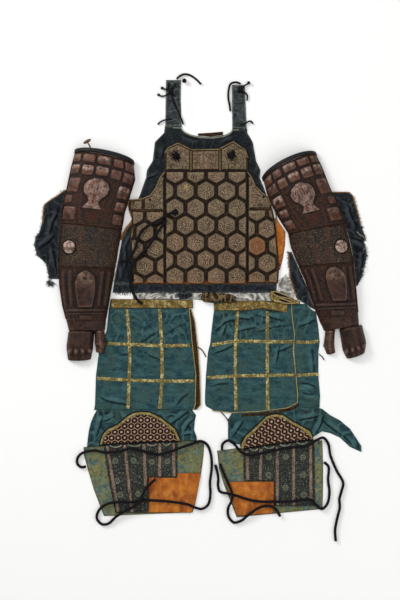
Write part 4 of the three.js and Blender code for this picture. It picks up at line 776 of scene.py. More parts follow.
def gold_paint(name, ground, figure, dark, pale, cast):
    """Brocade ribbon with a small repeating figure."""
    paint = Paint(name, 0.75)
    figure_cells = paint.band(paint.cells(8.5, randomness=0.45), 0.2, 0.5)
    base = paint.mix(figure_cells, rgb(figure), rgb(ground))
    base = paint.blotch(base, pale, 11, 3, 0.52, 0.62, 0.8)
    base = paint.blotch(base, cast, 34, 3, 0.45, 0.65, 0.6)
    base = paint.blotch(base, dark, 3.6, 3, 0.54, 0.64, 0.7)
    base = paint.shade(base, dark, "edge", 1.8, 0.3, 0.8)
    # Painted shade in the hollows and painted highlight on the ridges of the relief.
    base = paint.painted_shade_and_highlight(base, "140f06", "c9ba7c", 0.8, 0.3)
    return paint.done(base, paint.math("ADD", paint.weave(1.5), figure_cells), 0.6, 0.6)


def ring_height(paint, size):
    """Little mail rings: a bright round wall with a hole in it."""
    distance = paint.cells(size, randomness=0.45)
    wall = paint.math("SUBTRACT", 1.0, paint.math("ABSOLUTE", paint.band(distance, 0.12, 0.52, -1, 1), 0.0))
    return paint.math("MAXIMUM", wall, 0.0)


def mail_paint(name, hole, ring, speck, size, splint=None):
    """Fine mail in two tones, with steel splints and rosettes in it where the mesh has their masks."""
    paint = Paint(name, 0.55, metallic=0.3, gloss=0.4)
    rings = ring_height(paint, size)
    metal = paint.mix(paint.band(paint.noise(30, 4), 0.35, 0.65), rgb(ring[0]), rgb(ring[1]))
    base = paint.mix(paint.band(rings, 0.25, 0.8), rgb(hole), metal)
    base = paint.blotch(base, speck, 5, 3, 0.6, 0.66, 0.75)
    if splint:
        raised = paint.mask("plate")
        base = paint.blotch(base, "8f9078", 2.4, 3, 0.4, 0.5, within=paint.mask("rosette"))
        streaks = paint.band(paint.noise(9, 5, (1, 0.3, 1)), 0.38, 0.62)
        steel = paint.mix(streaks, rgb(splint[0]), rgb(splint[1]))
        steel = paint.blotch(steel, "b0a08c", 3, 3, 0.54, 0.62, 0.8)
        steel = paint.blotch(steel, "2b1d15", 5, 3, 0.46, 0.38, 0.7)
        steel = paint.shade(steel, "1c1310", "plate", 0.6, 0.25, 0.85)
        base = paint.shade(base, "0f0b09", "plate", 0.05, 0.25)
        base = paint.mix(paint.band(raised, 0.15, 0.3), base, steel)
        rings = paint.times(rings, paint.band(raised, 0.2, 0.4, 1, 0))
    return paint.done(base, rings, 0.9, 1.0)


def iron_paint(name, dark, light, glint, rust, ring="4a3024"):
    """Russet iron plates, with mail between them where the plate mask is low."""
    paint = Paint(name, 0.5, metallic=0.3, gloss=0.3)
    plate = paint.band(paint.mask("plate"), 0.35, 0.6)
    tone = paint.band(paint.noise(16, 6), 0.38, 0.62)
    steel = paint.mix(tone, rgb(dark), rgb(light))
    steel = paint.blotch(steel, rust, 9, 4, 0.54, 0.66, 0.6)
    steel = paint.blotch(steel, glint, 12, 4, 0.42, 0.62, within=paint.mask("bright"))
    steel = paint.shade(steel, glint, "ridge", 0.4, 1.0, 0.55)
    steel = paint.blotch(steel, "120b08", 3, 3, 0.46, 0.36, 0.7)
    rings = ring_height(paint, 4.0)
    mail = paint.mix(paint.band(rings, 0.3, 0.8), rgb("130b08"), paint.mix(tone, rgb(ring), rgb(rust)))
    # Painted shade in the hollows and painted glint on the ridges of the relief.
    base = paint.painted_shade_and_highlight(paint.mix(plate, mail, steel), "080504", glint, 0.8, 0.1)
    rough = paint.times(rings, paint.band(plate, 0, 1, 1, 0))
    pits = paint.band(paint.noise(2.5, 4), 0, 1, 0, 0.6)
    return paint.done(base, paint.math("ADD", rough, pits), 0.9, 1.0)


def knee_paint():
    """Knee brocade: pale lines between the little plates, a dark ring on each with a pale dot in it."""
    paint = Paint("knee_brocade", 0.8)
    reach = paint.mask("plate")
    ring = paint.mix(paint.band(paint.noise(7, 3), 0.42, 0.58), rgb("3a120e"), rgb("1c0b0a"))
    base = paint.mix(paint.band(reach, 0.62, 0.70), rgb("0b0707"), ring)
    base = paint.shade(base, "a38c6e", "plate", 1.13, 1.19)
    dot = paint.mix(paint.band(paint.noise(12, 2), 0.4, 0.6), rgb("98796a"), rgb("b5a08c"))
    base = paint.mix(paint.band(reach, 0.46, 0.36), base, dot)
    base = paint.blotch(base, "3a2a20", 2.4, 2, 0.60, 0.68, 0.6)
    base = paint.shade(base, "080707", "foot", 3.4, 2.4)
    border = paint.mix(paint.band(paint.noise(3.4, 3), 0.48, 0.6), rgb("8e7d47"), rgb("4f4422"))
    border = paint.blotch(border, "a59a70", 14, 3, 0.5, 0.65, 0.6)
    base = paint.shade(base, "140d0a", "rim", 10.6, 9.8)
    base = paint.mix(paint.band(paint.mask("rim"), 9.4, 8.8), base, border)
    base = paint.shade(base, "0b0a0a", "rim", 2.2, 1.5)
    return paint.done(base, paint.woven(1.5, 4, 3, 1), 0.5, 0.5)


def shin_paint():
    """Mottled blue-green brocade with worn gold curls."""
    paint = Paint("shin_brocade", 0.85)
    base = paint.mix(paint.band(paint.noise(46, 3), 0.42, 0.58), rgb("3d5a60"), rgb("5a6142"))
    base = paint.blotch(base, "6f7a5a", 19, 4, 0.46, 0.62, 0.7)
    curls = paint.band(paint.cells(22, "SMOOTH_F1", 0.9), 0.25, 0.5)
    base = paint.blotch(base, "80723c", 7, 3, 0.46, 0.6, within=curls)
    base = paint.blotch(base, "858c76", 5, 4, 0.55, 0.67, 0.75)
    base = paint.blotch(base, "223540", 9, 4, 0.42, 0.33, 0.8)
    base = paint.shade(base, "5c4f28", "edge", 4.0, 1.0, 0.8)
    # Painted shade in the hollows and painted highlight on the ridges of the relief.
    base = paint.painted_shade_and_highlight(base, "10140f", "9aa088", 0.6, 0.3)
    return paint.done(base, paint.woven(1.6, 5, 3, 1.4), 0.6, 0.6)


def leather_paint():
    """Smoked leather with dark stains and pale rubbed places."""
    paint = Paint("orange_leather", 0.6, gloss=0.2)
    lengthwise = (1.3, 0.8, 1)
    base = paint.mix(paint.band(paint.noise(34, 4, lengthwise), 0.36, 0.64), rgb("964c12"), rgb("b96d1e"))
    base = paint.blotch(base, "73300e", 58, 4, 0.52, 0.66, 0.75, lengthwise)
    base = paint.blotch(base, "c98840", 16, 5, 0.54, 0.68, 0.5)
    base = paint.blotch(base, "5a2a0e", 4, 4, 0.55, 0.65, 0.5)
    base = paint.shade(base, "3f1d0b", "edge", 3.0, 0.5, 0.8)
    # Painted shade in the hollows and painted highlight on the ridges of the relief.
    base = paint.painted_shade_and_highlight(base, "3a1606", "d49a4a", 0.6, 0.4)
    grain_height = paint.math("ADD", paint.cells(1.6), paint.band(paint.noise(7, 4), 0, 1, 0, 1.5))
    return paint.done(base, grain_height, 0.5, 0.6)


def cord_paint():
    paint = Paint("black_cord", 0.7)
    braid = paint.waves(3.2, "DIAGONAL", 1.0)
    base = paint.mix(paint.band(braid, 0.2, 0.8), rgb("030304"), rgb("100e14"))
    base = paint.blotch(base, "1c1a26", 9, 3, 0.6, 0.7, 0.5)
    return paint.done(base, braid, 0.8, 0.9)


# Each look: its material and the slot of the solids' material that it stands for
LOOKS = {
    "indigo": (cloth_paint("indigo_cloth", "090b10", "20252e", "4a5057", wear="5a605c", mottle=24,
                           tint="1c2420"), "indigo_cloth"),
    "back": (cloth_paint("back_cloth", "090b10", "222834", "4a5057", wear="5f6560", mottle=24, tint="1c2420",
                         upper="0c0f0d"), "indigo_cloth"),
    "slate": (cloth_paint("slate_cloth", "191b20", "44484b", "73797a", wear="7d8480", mottle=20,
                          tint="30332f"), "indigo_cloth"),
    "teal": (cloth_paint("teal_cloth", "16323a", "375a5a", "557a7c", wear="2a4a48", mottle=20, thread=1.4,
                         streak=(0.6, 1.3, 1), tint="3b4f42"), "teal_cloth"),
    # The white cloth's hollow colour is the painted shade in its creases.
    "white": (cloth_paint("white_cloth", "77736c", "cdcac2", "f2f0ea", mottle=16, coarse=0.15,
                          hollow="4a4640"), "white_cloth"),
    "plated": (plated_paint(), "plated_brocade"),
    "trim": (cloth_paint("trim_brocade", "140a07", "321c12", "5c4022", speck="5c4422", mottle=16),
             "trim_brocade"),
    "belt": (cloth_paint("belt_brocade", "1c120b", "4a3320", "a08a62", speck="7d6844", mottle=12),
             "trim_brocade"),
    "gold": (gold_paint("gold_brocade", ground="6c5f34", figure="b5a260", dark="3a3118", pale="cdc28c",
                        cast="68623a"), "gold_brocade"),
    "band": (gold_paint("band_brocade", ground="6b5426", figure="a88c48", dark="2a1f0c", pale="bcab78",
                        cast="5c5228"), "gold_brocade"),
    "knee": (knee_paint(), "knee_brocade"),
    "shin": (shin_paint(), "shin_brocade"),
    "splints": (mail_paint("splint_mail", "0c0e0c", ("2a3027", "4d5446"), "888c74", 5.5,
                           splint=("44332a", "7d6a59")), "splint_mail"),
    "mail": (mail_paint("arm_mail", "0d0805", ("43291b", "6b4732"), "6b6238", 5.0), "arm_mail"),
    "iron": (iron_paint("russet_iron", "29140c", "5d3623", "b39a8e", rust="66341e", ring="6a3f28"),
             "russet_iron"),
    "dark_iron": (iron_paint("dark_russet_iron", "1b0f0a", "3c251a", "7d6151", rust="5a2c1a", ring="6e422b"),
                  "russet_iron"),
    "black_iron": (iron_paint("black_iron", "070608", "17141a", "4a4244", rust="1f1512"), "black_iron"),
    "leather": (leather_paint(), "orange_leather"),
    "cord": (cord_paint(), "black_cord"),
}
PIPINGS = {
    "gold_piping": ("6a5636", "93805a", "b3a27c", "gold_brocade"),
    "bright_piping": ("8a7a4c", "b5a26c", "cfc094", "gold_brocade"),
    "orange_piping": ("6e4520", "9a6a34", "bf9058", "orange_leather"),
    "pale_piping": ("6c6d5a", "98988a", "b5b4a4", "gold_brocade"),
}
for piping, (*tones, slot_name) in PIPINGS.items():
    LOOKS[piping] = (cloth_paint(piping, *tones, mottle=12, thread=1.0), slot_name)


# Cuirass

BACK_NECK = dict(centre=21, half=76, depth=27, left=521.5, right=512.5)
NECK_SPAN = (0.1, 0.9)
WARM_PLATE = (172, 162)
GOLD_MOTIF = (-42, 339)
MOTIF = dict(petals=5, radius=9)
EYELET = dict(radius=4, width=3.2, depth=2.5)
STRAP_SEAM = dict(left=600, right=590)
SOLID_PANELS = {
    "do_armpit_left": (ARMPIT_LEFT, [(0, 0.4), (0.4, 1)], [(-146, 318), (-150, 300), (-112, 372)]),
    "do_armpit_right": (ARMPIT_RIGHT, [(0, 1)], [(149, 372), (190, 308)]),
    "do_breast_left": (BREAST_LEFT, [(0, 1)], []),
    "do_breast_centre": (BREAST_CENTRE, [(0, 1)], []),
    "do_breast_right": (BREAST_RIGHT, [(0, 1)], []),
}
PIPING_LEVEL = PLATED_TOP + 0.6
LINING_LEFT_EDGE = [(-219, 297, 1.9), (-210, 280, 1.9), (-207, 264, 1.9), (-199, 243, 3.2), (-205, 231, 3.2),
                    (-216, 219, 1.9), (-228, 198, 1.9), (-237, 180, 1.9)]
LINING_RIGHT_EDGE = [(228, 337, 1.6), (219, 300, 1.6), (226, 262, 1.6), (229, 246, 1.6)]
KNOTS = dict(left=(-72, 431), right=(94, 433))
TUFT = dict(threads=90, points=4, radius=1.5, ball=7)
STRAP_TIES = (
    [(-112, 634, 2.9), (-104, 632, 5), (-92, 630, 6.2), (-80, 640, 6), (-72, 648, 5.8)],
    [(-123, 616, 2.9), (-116, 611, 3.4), (-103, 613, 5.6), (-88, 622, 6.4), (-76, 612, 6)],
    [(-92, 650, 6), (-96, 634, 6.6), (-86, 616, 6.6), (-79, 594, 5.8), (-66, 566, 5.6), (-53, 536, 4.4),
     (-50, 526, 3.6)],
    [(-127, 526, 2.9), (-118, 534, 4), (-104, 540, 5.8), (-84, 543, 5.8)],
    [(112, 624, 5.8), (122, 631, 6.4), (130, 640, 5.8), (139, 646, 3.4), (146, 650, 3.2)],
    [(126, 640, 6), (116, 636, 6.2), (120, 622, 6.2), (134, 622, 5.4), (142, 612, 3.2), (141, 598, 3)],
    [(120, 526, 5.8), (134, 528, 5.8), (145, 535, 4), (153, 536, 3), (159, 528, 2.9)],
)
STRAP_KNOBS = ((-47, 657, 7.6, 7), (-113, 635, 5.6, 5), (-124, 615, 5.1, 4.5), (146, 651, 5.6, 5),
               (-88, 628, 8.4, 8), (122, 630, 8.4, 8))


def back_across(u):
    return BACK["left"][0] + (BACK["right"][0] - BACK["left"][0]) * u


def back_top(u):
    """The back's upper edge: its slanting shoulders, with the neck cut as a half ellipse."""
    x = back_across(u)
    q = np.minimum(np.abs(x - BACK_NECK["centre"]) / BACK_NECK["half"], 1)
    shoulder = BACK_NECK["left"] + (BACK_NECK["right"] - BACK_NECK["left"]) * u
    return shoulder - BACK_NECK["depth"] * np.sqrt(1 - q * q)


def worn(folds=None, size=26, rise=1.1, seed=1):
    """Folds of a table, with small creases and a soft swell between them."""
    def height(x, y, edge):
        base = fold_height(folds, x, y) if folds else 0
        return base + creases(x, y, size, seed) * rise + 0.35 * grain(x, y, 17, seed + 2)
    return height


def plated_panel(name, plan, origin):
    """A panel with hexagonal plates under its silk, one of them with its middle at the origin."""
    def reach(x, y, edge):
        return hex_cells(x, y, HEX, origin)[0]

    def height(x, y, edge):
        away = reach(x, y, edge)
        plate = smooth(1 - away, -0.01, HEX["bevel"] / HEX["half"]) * smooth(edge, 3, 6)
        crown = 0.5 * (1 - np.clip(away, 0, 1) ** 2)
        puckers = 0.5 * creases(x, y, 14, 9) * (away > 0.9)
        return HEX["rise"] * plate + crown + puckers + 0.25 * grain(x, y, 9, 4)

    def plate_mask(x, y, edge):
        return np.maximum(reach(x, y, edge), np.where(edge < 4, 1.05, 0))

    def tone_mask(x, y, edge):
        return hex_cells(x, y, HEX, origin)[1]

    def warm_mask(x, y, edge):
        return smooth(30 - np.hypot(x - WARM_PLATE[0], y - WARM_PLATE[1]), 0, 3)

    def motif_mask(x, y, edge):
        dx, dy = x - GOLD_MOTIF[0], y - GOLD_MOTIF[1]
        petals = 0.6 + 0.4 * np.cos(MOTIF["petals"] * np.arctan2(dy, dx))
        return smooth(MOTIF["radius"] * petals - np.hypot(dx, dy), -1, 2)

    masks = dict(plate=plate_mask, warm=warm_mask, motif=motif_mask, tone=tone_mask)
    flat_cloth("look_" + name, plan, LOOKS["plated"], OVER_CLOTH, PLATED_WALL, height, masks, 2.0)


def solid_panel(name, table, spans, holes):
    """A panel whose plates fill it, each between two shares of its width, with stitched eyelets."""
    plan = column_panel(table)
    first, width = table["x"][0], plan.long[1]

    def inside(x, y, edge):
        u = (x - first) / width
        gap = np.full_like(x, 1e9)
        for low, high in spans:
            gap = np.where((u >= low) & (u <= high), np.minimum((u - low), (high - u)) * width, gap)
        return np.minimum(edge, gap)

    def height(x, y, edge):
        z = 1.5 * smooth(inside(x, y, edge), 3.5, 6.5) + 0.25 * grain(x, y, 9, 4)
        for hx, hy in holes:
            z = z - EYELET["depth"] * hump(np.hypot(x - hx, y - hy), EYELET["width"], 4)
        return z

    def plate_mask(x, y, edge):
        reach = 1.1 - 0.37 * smooth(inside(x, y, edge), 1.5, 9)
        for hx, hy in holes:
            reach = np.where(np.hypot(x - hx, y - hy) < EYELET["radius"], 1.1, reach)
        return reach

    masks = dict(plate=plate_mask, tone=lambda x, y, edge: x * 0 + hashed(width, 1, 2))
    flat_cloth("look_" + name, plan, LOOKS["plated"], OVER_CLOTH, PLATED_WALL, height, masks, 2.0)


def edge_line(table, key, side, level):
    """A line along one side of a table's panel."""
    if key == "y":
        return np.stack([table[side], table["y"], np.full(len(table["y"]), level)], axis=-1)
    return np.stack([table["x"], table[side], np.full(len(table["x"]), level)], axis=-1)


def finer(line, step=6.0):
    """The same line with points about a step apart."""
    line = np.asarray(line, dtype=float)
    reach = np.concatenate([[0], np.cumsum(np.linalg.norm(np.diff(line, axis=0), axis=1))])
    places = np.linspace(0, reach[-1], max(int(reach[-1] / step), 2) + 1)
    return np.stack([np.interp(places, reach, line[:, i]) for i in range(3)], axis=-1)


def ball_part(x, y, z, radius):
    turn = np.linspace(0, math.pi, 8)
    line = np.stack([x + 0 * turn, y + 0 * turn, z - radius * np.cos(turn)], axis=-1)
    return tube_part(line, radius, 12, np.sin(turn) * 0.98 + 0.02)


def tuft(name, x, y, z, seed, node=None, size=1.0):
    """A knot with a brush of thick threads that droop all round it."""
    chance = np.random.default_rng(seed)
    parts = []
    for _ in range(TUFT["threads"]):
        turn, lean = chance.uniform(0, 2 * math.pi), chance.uniform(0.3, 1.5)
        reach = chance.uniform(9, 17) * size
        t = np.linspace(0, 1, TUFT["points"])
        out = np.sin(lean) * reach * t
        droop = 2.5 * out / 12 * t
        line = np.stack([x + np.cos(turn) * out, y + np.sin(turn) * out,
                         z + np.cos(lean) * reach * 0.8 * t + 0.8 - droop], axis=-1)
        parts.append(tube_part(line, TUFT["radius"], 4, 1 - 0.4 * t))
    parts.append(ball_part(x, y, z + 4, TUFT["ball"] * size))
    verts, faces = join_parts(parts)
    piece = add_object(name, verts, faces, LOOKS["cord"])
    if node:
        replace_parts(piece, node)


def build_strap(side, table):
    """A shoulder strap with a stitched rim and a seam across it."""
    def height(x, y, edge):
        rim = -0.9 * hump(edge - 6, 1.2)
        return rim - 1.0 * hump(y - STRAP_SEAM[side], 1.5) + 1.3 * creases(x, y, 18, 6)

    flat_cloth(f"look_do_strap_{side}", row_panel(table), LOOKS["slate"], wall=STRAP_WALL, height=height)


def hem_height(x, y, edge):
    return 1.2 * creases(x, y, 12, 3) + 0.5 * grain(x, y, 6, 8)


def lining_height(x, y, edge):
    """Creased leather with a row of stitch holes 14 mm apart along its edge."""
    return 0.8 * creases(x, y, 16, 5) - 1.2 * hump(np.hypot(np.mod(y, 14) - 7, edge - 5), 1.6)


def build_cuirass_piping():
    tops = [finer(edge_line(table, "x", "top", PIPING_LEVEL)) for table, _, _ in SOLID_PANELS.values()]
    sides = [finer([(x, 388, PIPING_LEVEL), (x, 446, PIPING_LEVEL)]) for x in (-27, 60)]
    tubes("do_gold_piping", tops + sides, 1.5, LOOKS["gold_piping"])
    seams = [((-105, 387), (141.5, 387)), ((-105.2, 384), (-105.2, 47)), ((141.7, 384), (141.7, 50))]
    seams = [finer([(x, y, PIPING_LEVEL) for x, y in seam]) for seam in seams]
    tubes("do_dark_seams", seams, 1.3, LOOKS["cord"])
    u = np.linspace(*NECK_SPAN, 50)
    neckline = np.stack([back_across(u), back_top(u) - 4, np.full(50, CLOTH_WALL + 0.4)], axis=-1)
    tubes("do_neck_piping", [neckline], 1.8, LOOKS["pale_piping"])
    left_edge = finer(LINING_LEFT_EDGE)
    doubled = left_edge + np.array([-3.2, 0.5, 0])
    tubes("do_left_piping", [left_edge, doubled], 1.9, LOOKS["orange_piping"])


def build_cuirass_frays():
    chance = np.random.default_rng(11)
    roots = [(x, 24 + chance.uniform(-2, 2), 1.8, 270 + chance.normal(0, 14))
             for x in chance.uniform(-260, 228, 260)]
    roots += [(x, 50, 5, 270 + chance.normal(0, 18)) for x in chance.uniform(-104, 140, 90)]
    threads("do_hem_fray", roots, LOOKS["indigo"], 12, (5, 13), 0.7, 0.3)
    roots = [(-252 + chance.uniform(-5, 3), y, 2, 180 + chance.normal(0, 30))
             for y in chance.uniform(52, 120, 40)]
    threads("do_side_fray", roots, LOOKS["indigo"], 13, (4, 9), 0.6, 0.5)


def build_cuirass():
    flat_cloth("look_do_back", row_panel(BACK, back_top), LOOKS["back"], height=worn(BACK_FOLDS, 34, 1.2, 2),
               cell=2.4)
    build_strap("left", STRAP_LEFT)
    build_strap("right", STRAP_RIGHT)
    flat_cloth("look_do_neck_plate", column_panel(NECK_PLATE), LOOKS["trim"])
    flat_cloth("look_do_hem", row_panel(HEM), LOOKS["indigo"], height=hem_height)
    plated_panel("do_front", row_panel(FRONT), (18, 327))
    plated_panel("do_flank_left", row_panel(FLANK_LEFT), (-165, 204))
    plated_panel("do_flank_right", row_panel(FLANK_RIGHT), (170, 162))
    for name, (table, spans, holes) in SOLID_PANELS.items():
        solid_panel(name, table, spans, holes)
    build_cuirass_piping()
    flat_cloth("look_do_lining_right", row_panel(LINING), LOOKS["leather"], wall=LEATHER_WALL,
               height=lining_height)
    tubes("do_right_piping", [finer(LINING_RIGHT_EDGE)], 1.2, LOOKS["orange_piping"])
    worn_hem = finer([(-104, 50, PIPING_LEVEL), (140, 50, PIPING_LEVEL)], 4)
    tubes("do_worn_edge", [worn_hem], 1.5, LOOKS["belt"])
    build_cuirass_frays()
    for side, (x, y) in KNOTS.items():
        tuft(f"look_do_knot_{side}", x, y, PLATED_TOP + 1.8, 200 + x, f"do_knot_{side}", 1.12)
    tuft("do_side_cord_tuft", -74, 262, PLATED_TOP + 2.4, 207, size=0.75)
    strap_feet = [finer([(-103, 521.6, 2.2), (-55, 521.6, 2.2)]), finer([(97, 514, 2.2), (140, 513.4, 2.2)])]
    tubes("do_strap_feet", strap_feet, 2.0, LOOKS["back"])
    tubes("do_strap_ties", [curve_through(tie, 6) for tie in STRAP_TIES], 2.4, LOOKS["cord"])
    verts, faces = join_parts([ball_part(*knob) for knob in STRAP_KNOBS])
    add_object("do_strap_knobs", verts, faces, LOOKS["cord"])


# Armoured sleeves

SLEEVES = {
    "left": dict(arm=ARM_LEFT, hand=HAND_LEFT, thumb=THUMB_LEFT, thumb_level=OVER_CLOTH, leaf=0.0, mirror=1),
    "right": dict(arm=ARM_RIGHT, hand=HAND_RIGHT, thumb=THUMB_RIGHT, thumb_level=0.0, leaf=-0.2, mirror=-1),
}
STRETCHES = dict(cap=(0, 0.22), upper=(0.2265, 4.1), elbow=(4.107, 6.2), forearm=(6.2055, 10))
SEAM_ROWS = (0.2565, 4.06, 6.2455)
GOURD_SHAPE = dict(centre=-0.05, rows_mm=85, ribs=9, rib_depth=0.11, roundness=0.85, bands_from=2.45)
DISC = dict(across=-0.66, row=5.3, radius=21, rise=4.5, petals=16, rings=14, around=96)
TOGGLE = dict(across=-0.42, turn=0.5, foot=(-4, -4, 0), stem=26, stem_radius=2.2, half=13, radius=5)
ROW_MM = 55.0
UPPER_HALF_MM = 95.0
FOREARM_HALF_MM = 75.0
SLEEVE_FOLDS_INNER = rows("x y turn length width rise", (296, 66, 115, 90, 7, 6))
SLEEVE_TIES = (
    [(498, 178, 2), (488, 190, 8), (478, 196, 10), (470, 205, 8)],
    [(495, 165, 4), (496, 158, 5), (490, 150, 9)],
    [(498, 100, 3), (492, 96, 7), (484, 92, 8)],
)


def arch_place(table, level, across, row, out):
    """Points at places across an arch and rows along it, so far outside its outer face."""
    outer = np.stack([np.interp(row, table["row"], table[k]) for k in ("outX", "outY")], axis=-1)
    inner = np.stack([np.interp(row, table["row"], table[k]) for k in ("inX", "inY")], axis=-1)
    half = (inner - outer) / 2
    width = np.linalg.norm(half, axis=-1)
    shoulder = np.stack([-half[..., 1], half[..., 0]], axis=-1) / width[..., None]
    shoulder = np.where(shoulder[..., 1:] < 0, -shoulder, shoulder)
    crown = np.sqrt(np.clip(1 - across * across, 0, 1))
    bulge = np.interp(row, table["row"], table["bulge"])
    tall = np.interp(row, table["row"], table["height"])
    xy = (outer + inner) / 2 + half * (across * (1 + out / width))[..., None]
    xy = xy + shoulder * (bulge * crown)[..., None]
    return np.concatenate([xy, (level + (tall + out) * crown)[..., None]], axis=-1)


def arch_line(table, across, row, out=0.0):
    """The same for an arch that stands on the surface, from numbers or lists of them."""
    across, row = np.broadcast_arrays(np.asarray(across, dtype=float), np.asarray(row, dtype=float))
    return arch_place(table, 0, across, row, np.full(across.shape, out))


def line_length(points):
    return float(np.sum(np.linalg.norm(np.diff(points, axis=0), axis=1)))


def arch_shell(name, table, span, look, relief, level=0.0, mirror=1, cell=CELL):
    """An arch wall as a dense closed shell. relief(across, row, place) gives the rise and the masks."""
    length = line_length(arch_line(table, 0, np.linspace(*span, 40)))
    girth = line_length(arch_line(table, np.linspace(-1, 1, 40), float(np.mean(span)))) * 1.1
    down, across = max(int(length / cell), 4) + 1, max(int(girth / cell), 8) + 1
    turns = np.linspace(-math.pi / 2, math.pi / 2, across)
    row, turn = np.meshgrid(np.linspace(*span, down), turns, indexing="ij")
    side = np.sin(turn)
    rise, masks = relief(side, row, arch_place(table, level, side, row, np.zeros_like(row)))
    end = np.minimum(row - span[0], span[1] - row) / (span[1] - span[0]) * length
    rise = rise * smooth(end, -0.5, 3) - 1.0 * (1 - smooth(end, 0, 1.6))
    outer = arch_place(table, level, side, row, rise)
    inner = arch_place(table, level, side, row, np.full_like(row, -IRON_WALL))
    points = np.concatenate([outer.reshape(-1, 3), inner.reshape(-1, 3)])
    points[:, 2] = np.maximum(points[:, 2], level)
    faces = shell_faces(down, across)
    masks = dict(relief=relief_of(rise, 1.2), **masks)
    layers = {key: np.concatenate([value.reshape(-1)] * 2) for key, value in masks.items()}
    piece = add_object("look_" + name, points, flipped(faces) if mirror < 0 else faces, look, layers)
    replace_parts(piece, name)


def plate_box(across, row, plate, half_mm, corner=6.0):
    """Distance in millimetres inside a plate's edge (negative outside it), with round corners."""
    turn = np.arcsin(np.clip(across, -1, 1))
    low, high = math.asin(max(plate["left"], -0.995)), math.asin(min(plate["right"], 0.995))
    aside = np.minimum(turn - low, high - turn) * half_mm * 0.75
    along = np.minimum(row - plate["top"], plate["bottom"] - row) * ROW_MM
    tall = (plate["bottom"] - plate["top"]) * ROW_MM
    corner = min(corner, (high - low) * half_mm * 0.3, tall * 0.45)
    near = np.hypot(np.maximum(corner - aside, 0), np.maximum(corner - along, 0))
    return np.where((aside < corner) & (along < corner), corner - near, np.minimum(aside, along))


def mail_texture(place):
    return 0.35 * grain(place[..., 0], place[..., 1], 5, 31)


def cap_relief(across, row, place):
    """The cap plate: it flares towards the shoulder, with a raised band and a rolled rim."""
    flare = 5 * (1 - row / STRETCHES["cap"][1])
    band = 3 * hump(row - 0.16, 0.03)
    rim = 1.5 * hump(row - 0.015, 0.02)
    ridge = hump(row - 0.19, 0.02) + hump(row - 0.02, 0.03)
    return flare + band + rim, dict(plate=row * 0 + 1, ridge=np.clip(ridge, 0, 1))


def upper_relief(across, row, place):
    """Small plates in mail, and the ribbed gourd plate over them."""
    rise = mail_texture(place)
    plate_mask, ridge, bright = np.zeros_like(row), np.zeros_like(row), np.zeros_like(row)
    for number, plate in enumerate(each(UPPER_PLATES)):
        inside = plate_box(across, row, plate, UPPER_HALF_MM)
        rise = rise + PLATE_RISE * smooth(inside, -0.6, 1.8) + 0.6 * smooth(inside, 0, 9)
        rise = rise - 0.8 * hump(inside - 5.5, 1.2) * (number % 3 == 0)
        plate_mask = np.maximum(plate_mask, smooth(inside, -0.8, 0.4))
        ridge = np.maximum(ridge, hump(inside - 1.8, 1.1) * 0.5 * plate["shine"])
        high = smooth((plate["top"] + plate["bottom"]) / 2 - row, -0.1, 0.15)
        bright = np.maximum(bright, smooth(inside, 0, 3) * high * plate["shine"])
    shape = GOURD_SHAPE
    half = lookup(GOURD, "row", "half", row)
    side = (across - shape["centre"]) / np.maximum(half, 0.01)
    within = (row > GOURD["row"][0]) & (row < GOURD["row"][-1])
    inside = np.where(within, (1 - np.abs(side)) * half * shape["rows_mm"], -5)
    crown = np.sqrt(np.clip(1 - side * side * shape["roundness"], 0, 1))
    rib = np.cos(side * shape["ribs"] * math.pi)
    low_bands = 0.12 * np.cos(np.clip(row - shape["bands_from"], 0, 1) * 40) * (row > shape["bands_from"])
    ribbed = crown * (1 + shape["rib_depth"] * rib) * (1 + low_bands)
    gourd_rise = np.maximum(lookup(GOURD, "row", "rise", row) * ribbed, 1.2)
    mask = smooth(inside, -1, 1)
    rise = rise * (1 - mask) + gourd_rise * mask
    rib_light = mask * smooth(rib, 0.2, 1) * 0.9
    return rise, dict(plate=np.maximum(plate_mask, mask), ridge=np.maximum(ridge, rib_light),
                      bright=np.maximum(bright, mask * 0.45))


def elbow_relief(across, row, place):
    rise = mail_texture(place) + 0.8 * creases(place[..., 0], place[..., 1], 30, 44)
    return rise, dict(plate=row * 0)


def forearm_relief(leaf_centre):
    """Mail with long splints and bands, the leaf plate above them and a cloth cuff at the wrist."""
    def relief(across, row, place):
        half = lookup(LEAF, "row", "half", row)
        side = (across - leaf_centre) / np.maximum(half, 0.01)
        within = (row > LEAF["row"][0]) & (row < LEAF["row"][-1])
        inside = np.minimum((1 - np.abs(side)) * half * 80, (LEAF["row"][-1] - row) * ROW_MM)
        inside = np.where(within, inside, -5)
        leaf = smooth(inside, -1, 1.2)
        engraved = hump(row - 6.75, 0.03) + hump(row - 6.87, 0.03)
        engraved = engraved + 0.6 * hump(np.abs(side) - 0.5, 0.05) * (row > 6.9)
        leaf_rise = 2.4 + 2.2 * (1 - side * side) + 0.9 * hump(inside - 3, 1.5) - 0.7 * engraved
        rise = mail_texture(place) * (1 - leaf) + leaf_rise * leaf
        plate_mask = leaf
        ridge = leaf * hump(inside - 3, 1.8)
        for table, sheen in ((ARM_SPLINTS, 0.44), (WRIST_PIECES, 1)):
            for plate in each(table):
                inside = plate_box(across, row, plate, FOREARM_HALF_MM)
                rise = rise + (PLATE_RISE + 0.4) * smooth(inside, -0.5, 3.5)
                plate_mask = np.maximum(plate_mask, smooth(inside, -0.8, 0.5) * sheen)
                ridge = np.maximum(ridge, smooth(inside, 1.5, 4.5) * 0.15)
        inside = plate_box(across, row, LOWER_WRIST_BAND, FOREARM_HALF_MM)
        rise = rise + 1.6 * smooth(inside, -0.5, 2)
        plate_mask = np.maximum(plate_mask, smooth(inside, -0.8, 0.5))
        cuff = smooth(row, 9.2, 9.35)
        rise = rise * (1 - cuff) + cuff * creases(place[..., 0], place[..., 1], 12, 51)
        bright = leaf * smooth(7.0 - row, -0.3, 0.3) * 0.8
        return rise, dict(plate=np.maximum(plate_mask, cuff * 0.9), ridge=ridge * (1 - cuff), bright=bright)
    return relief


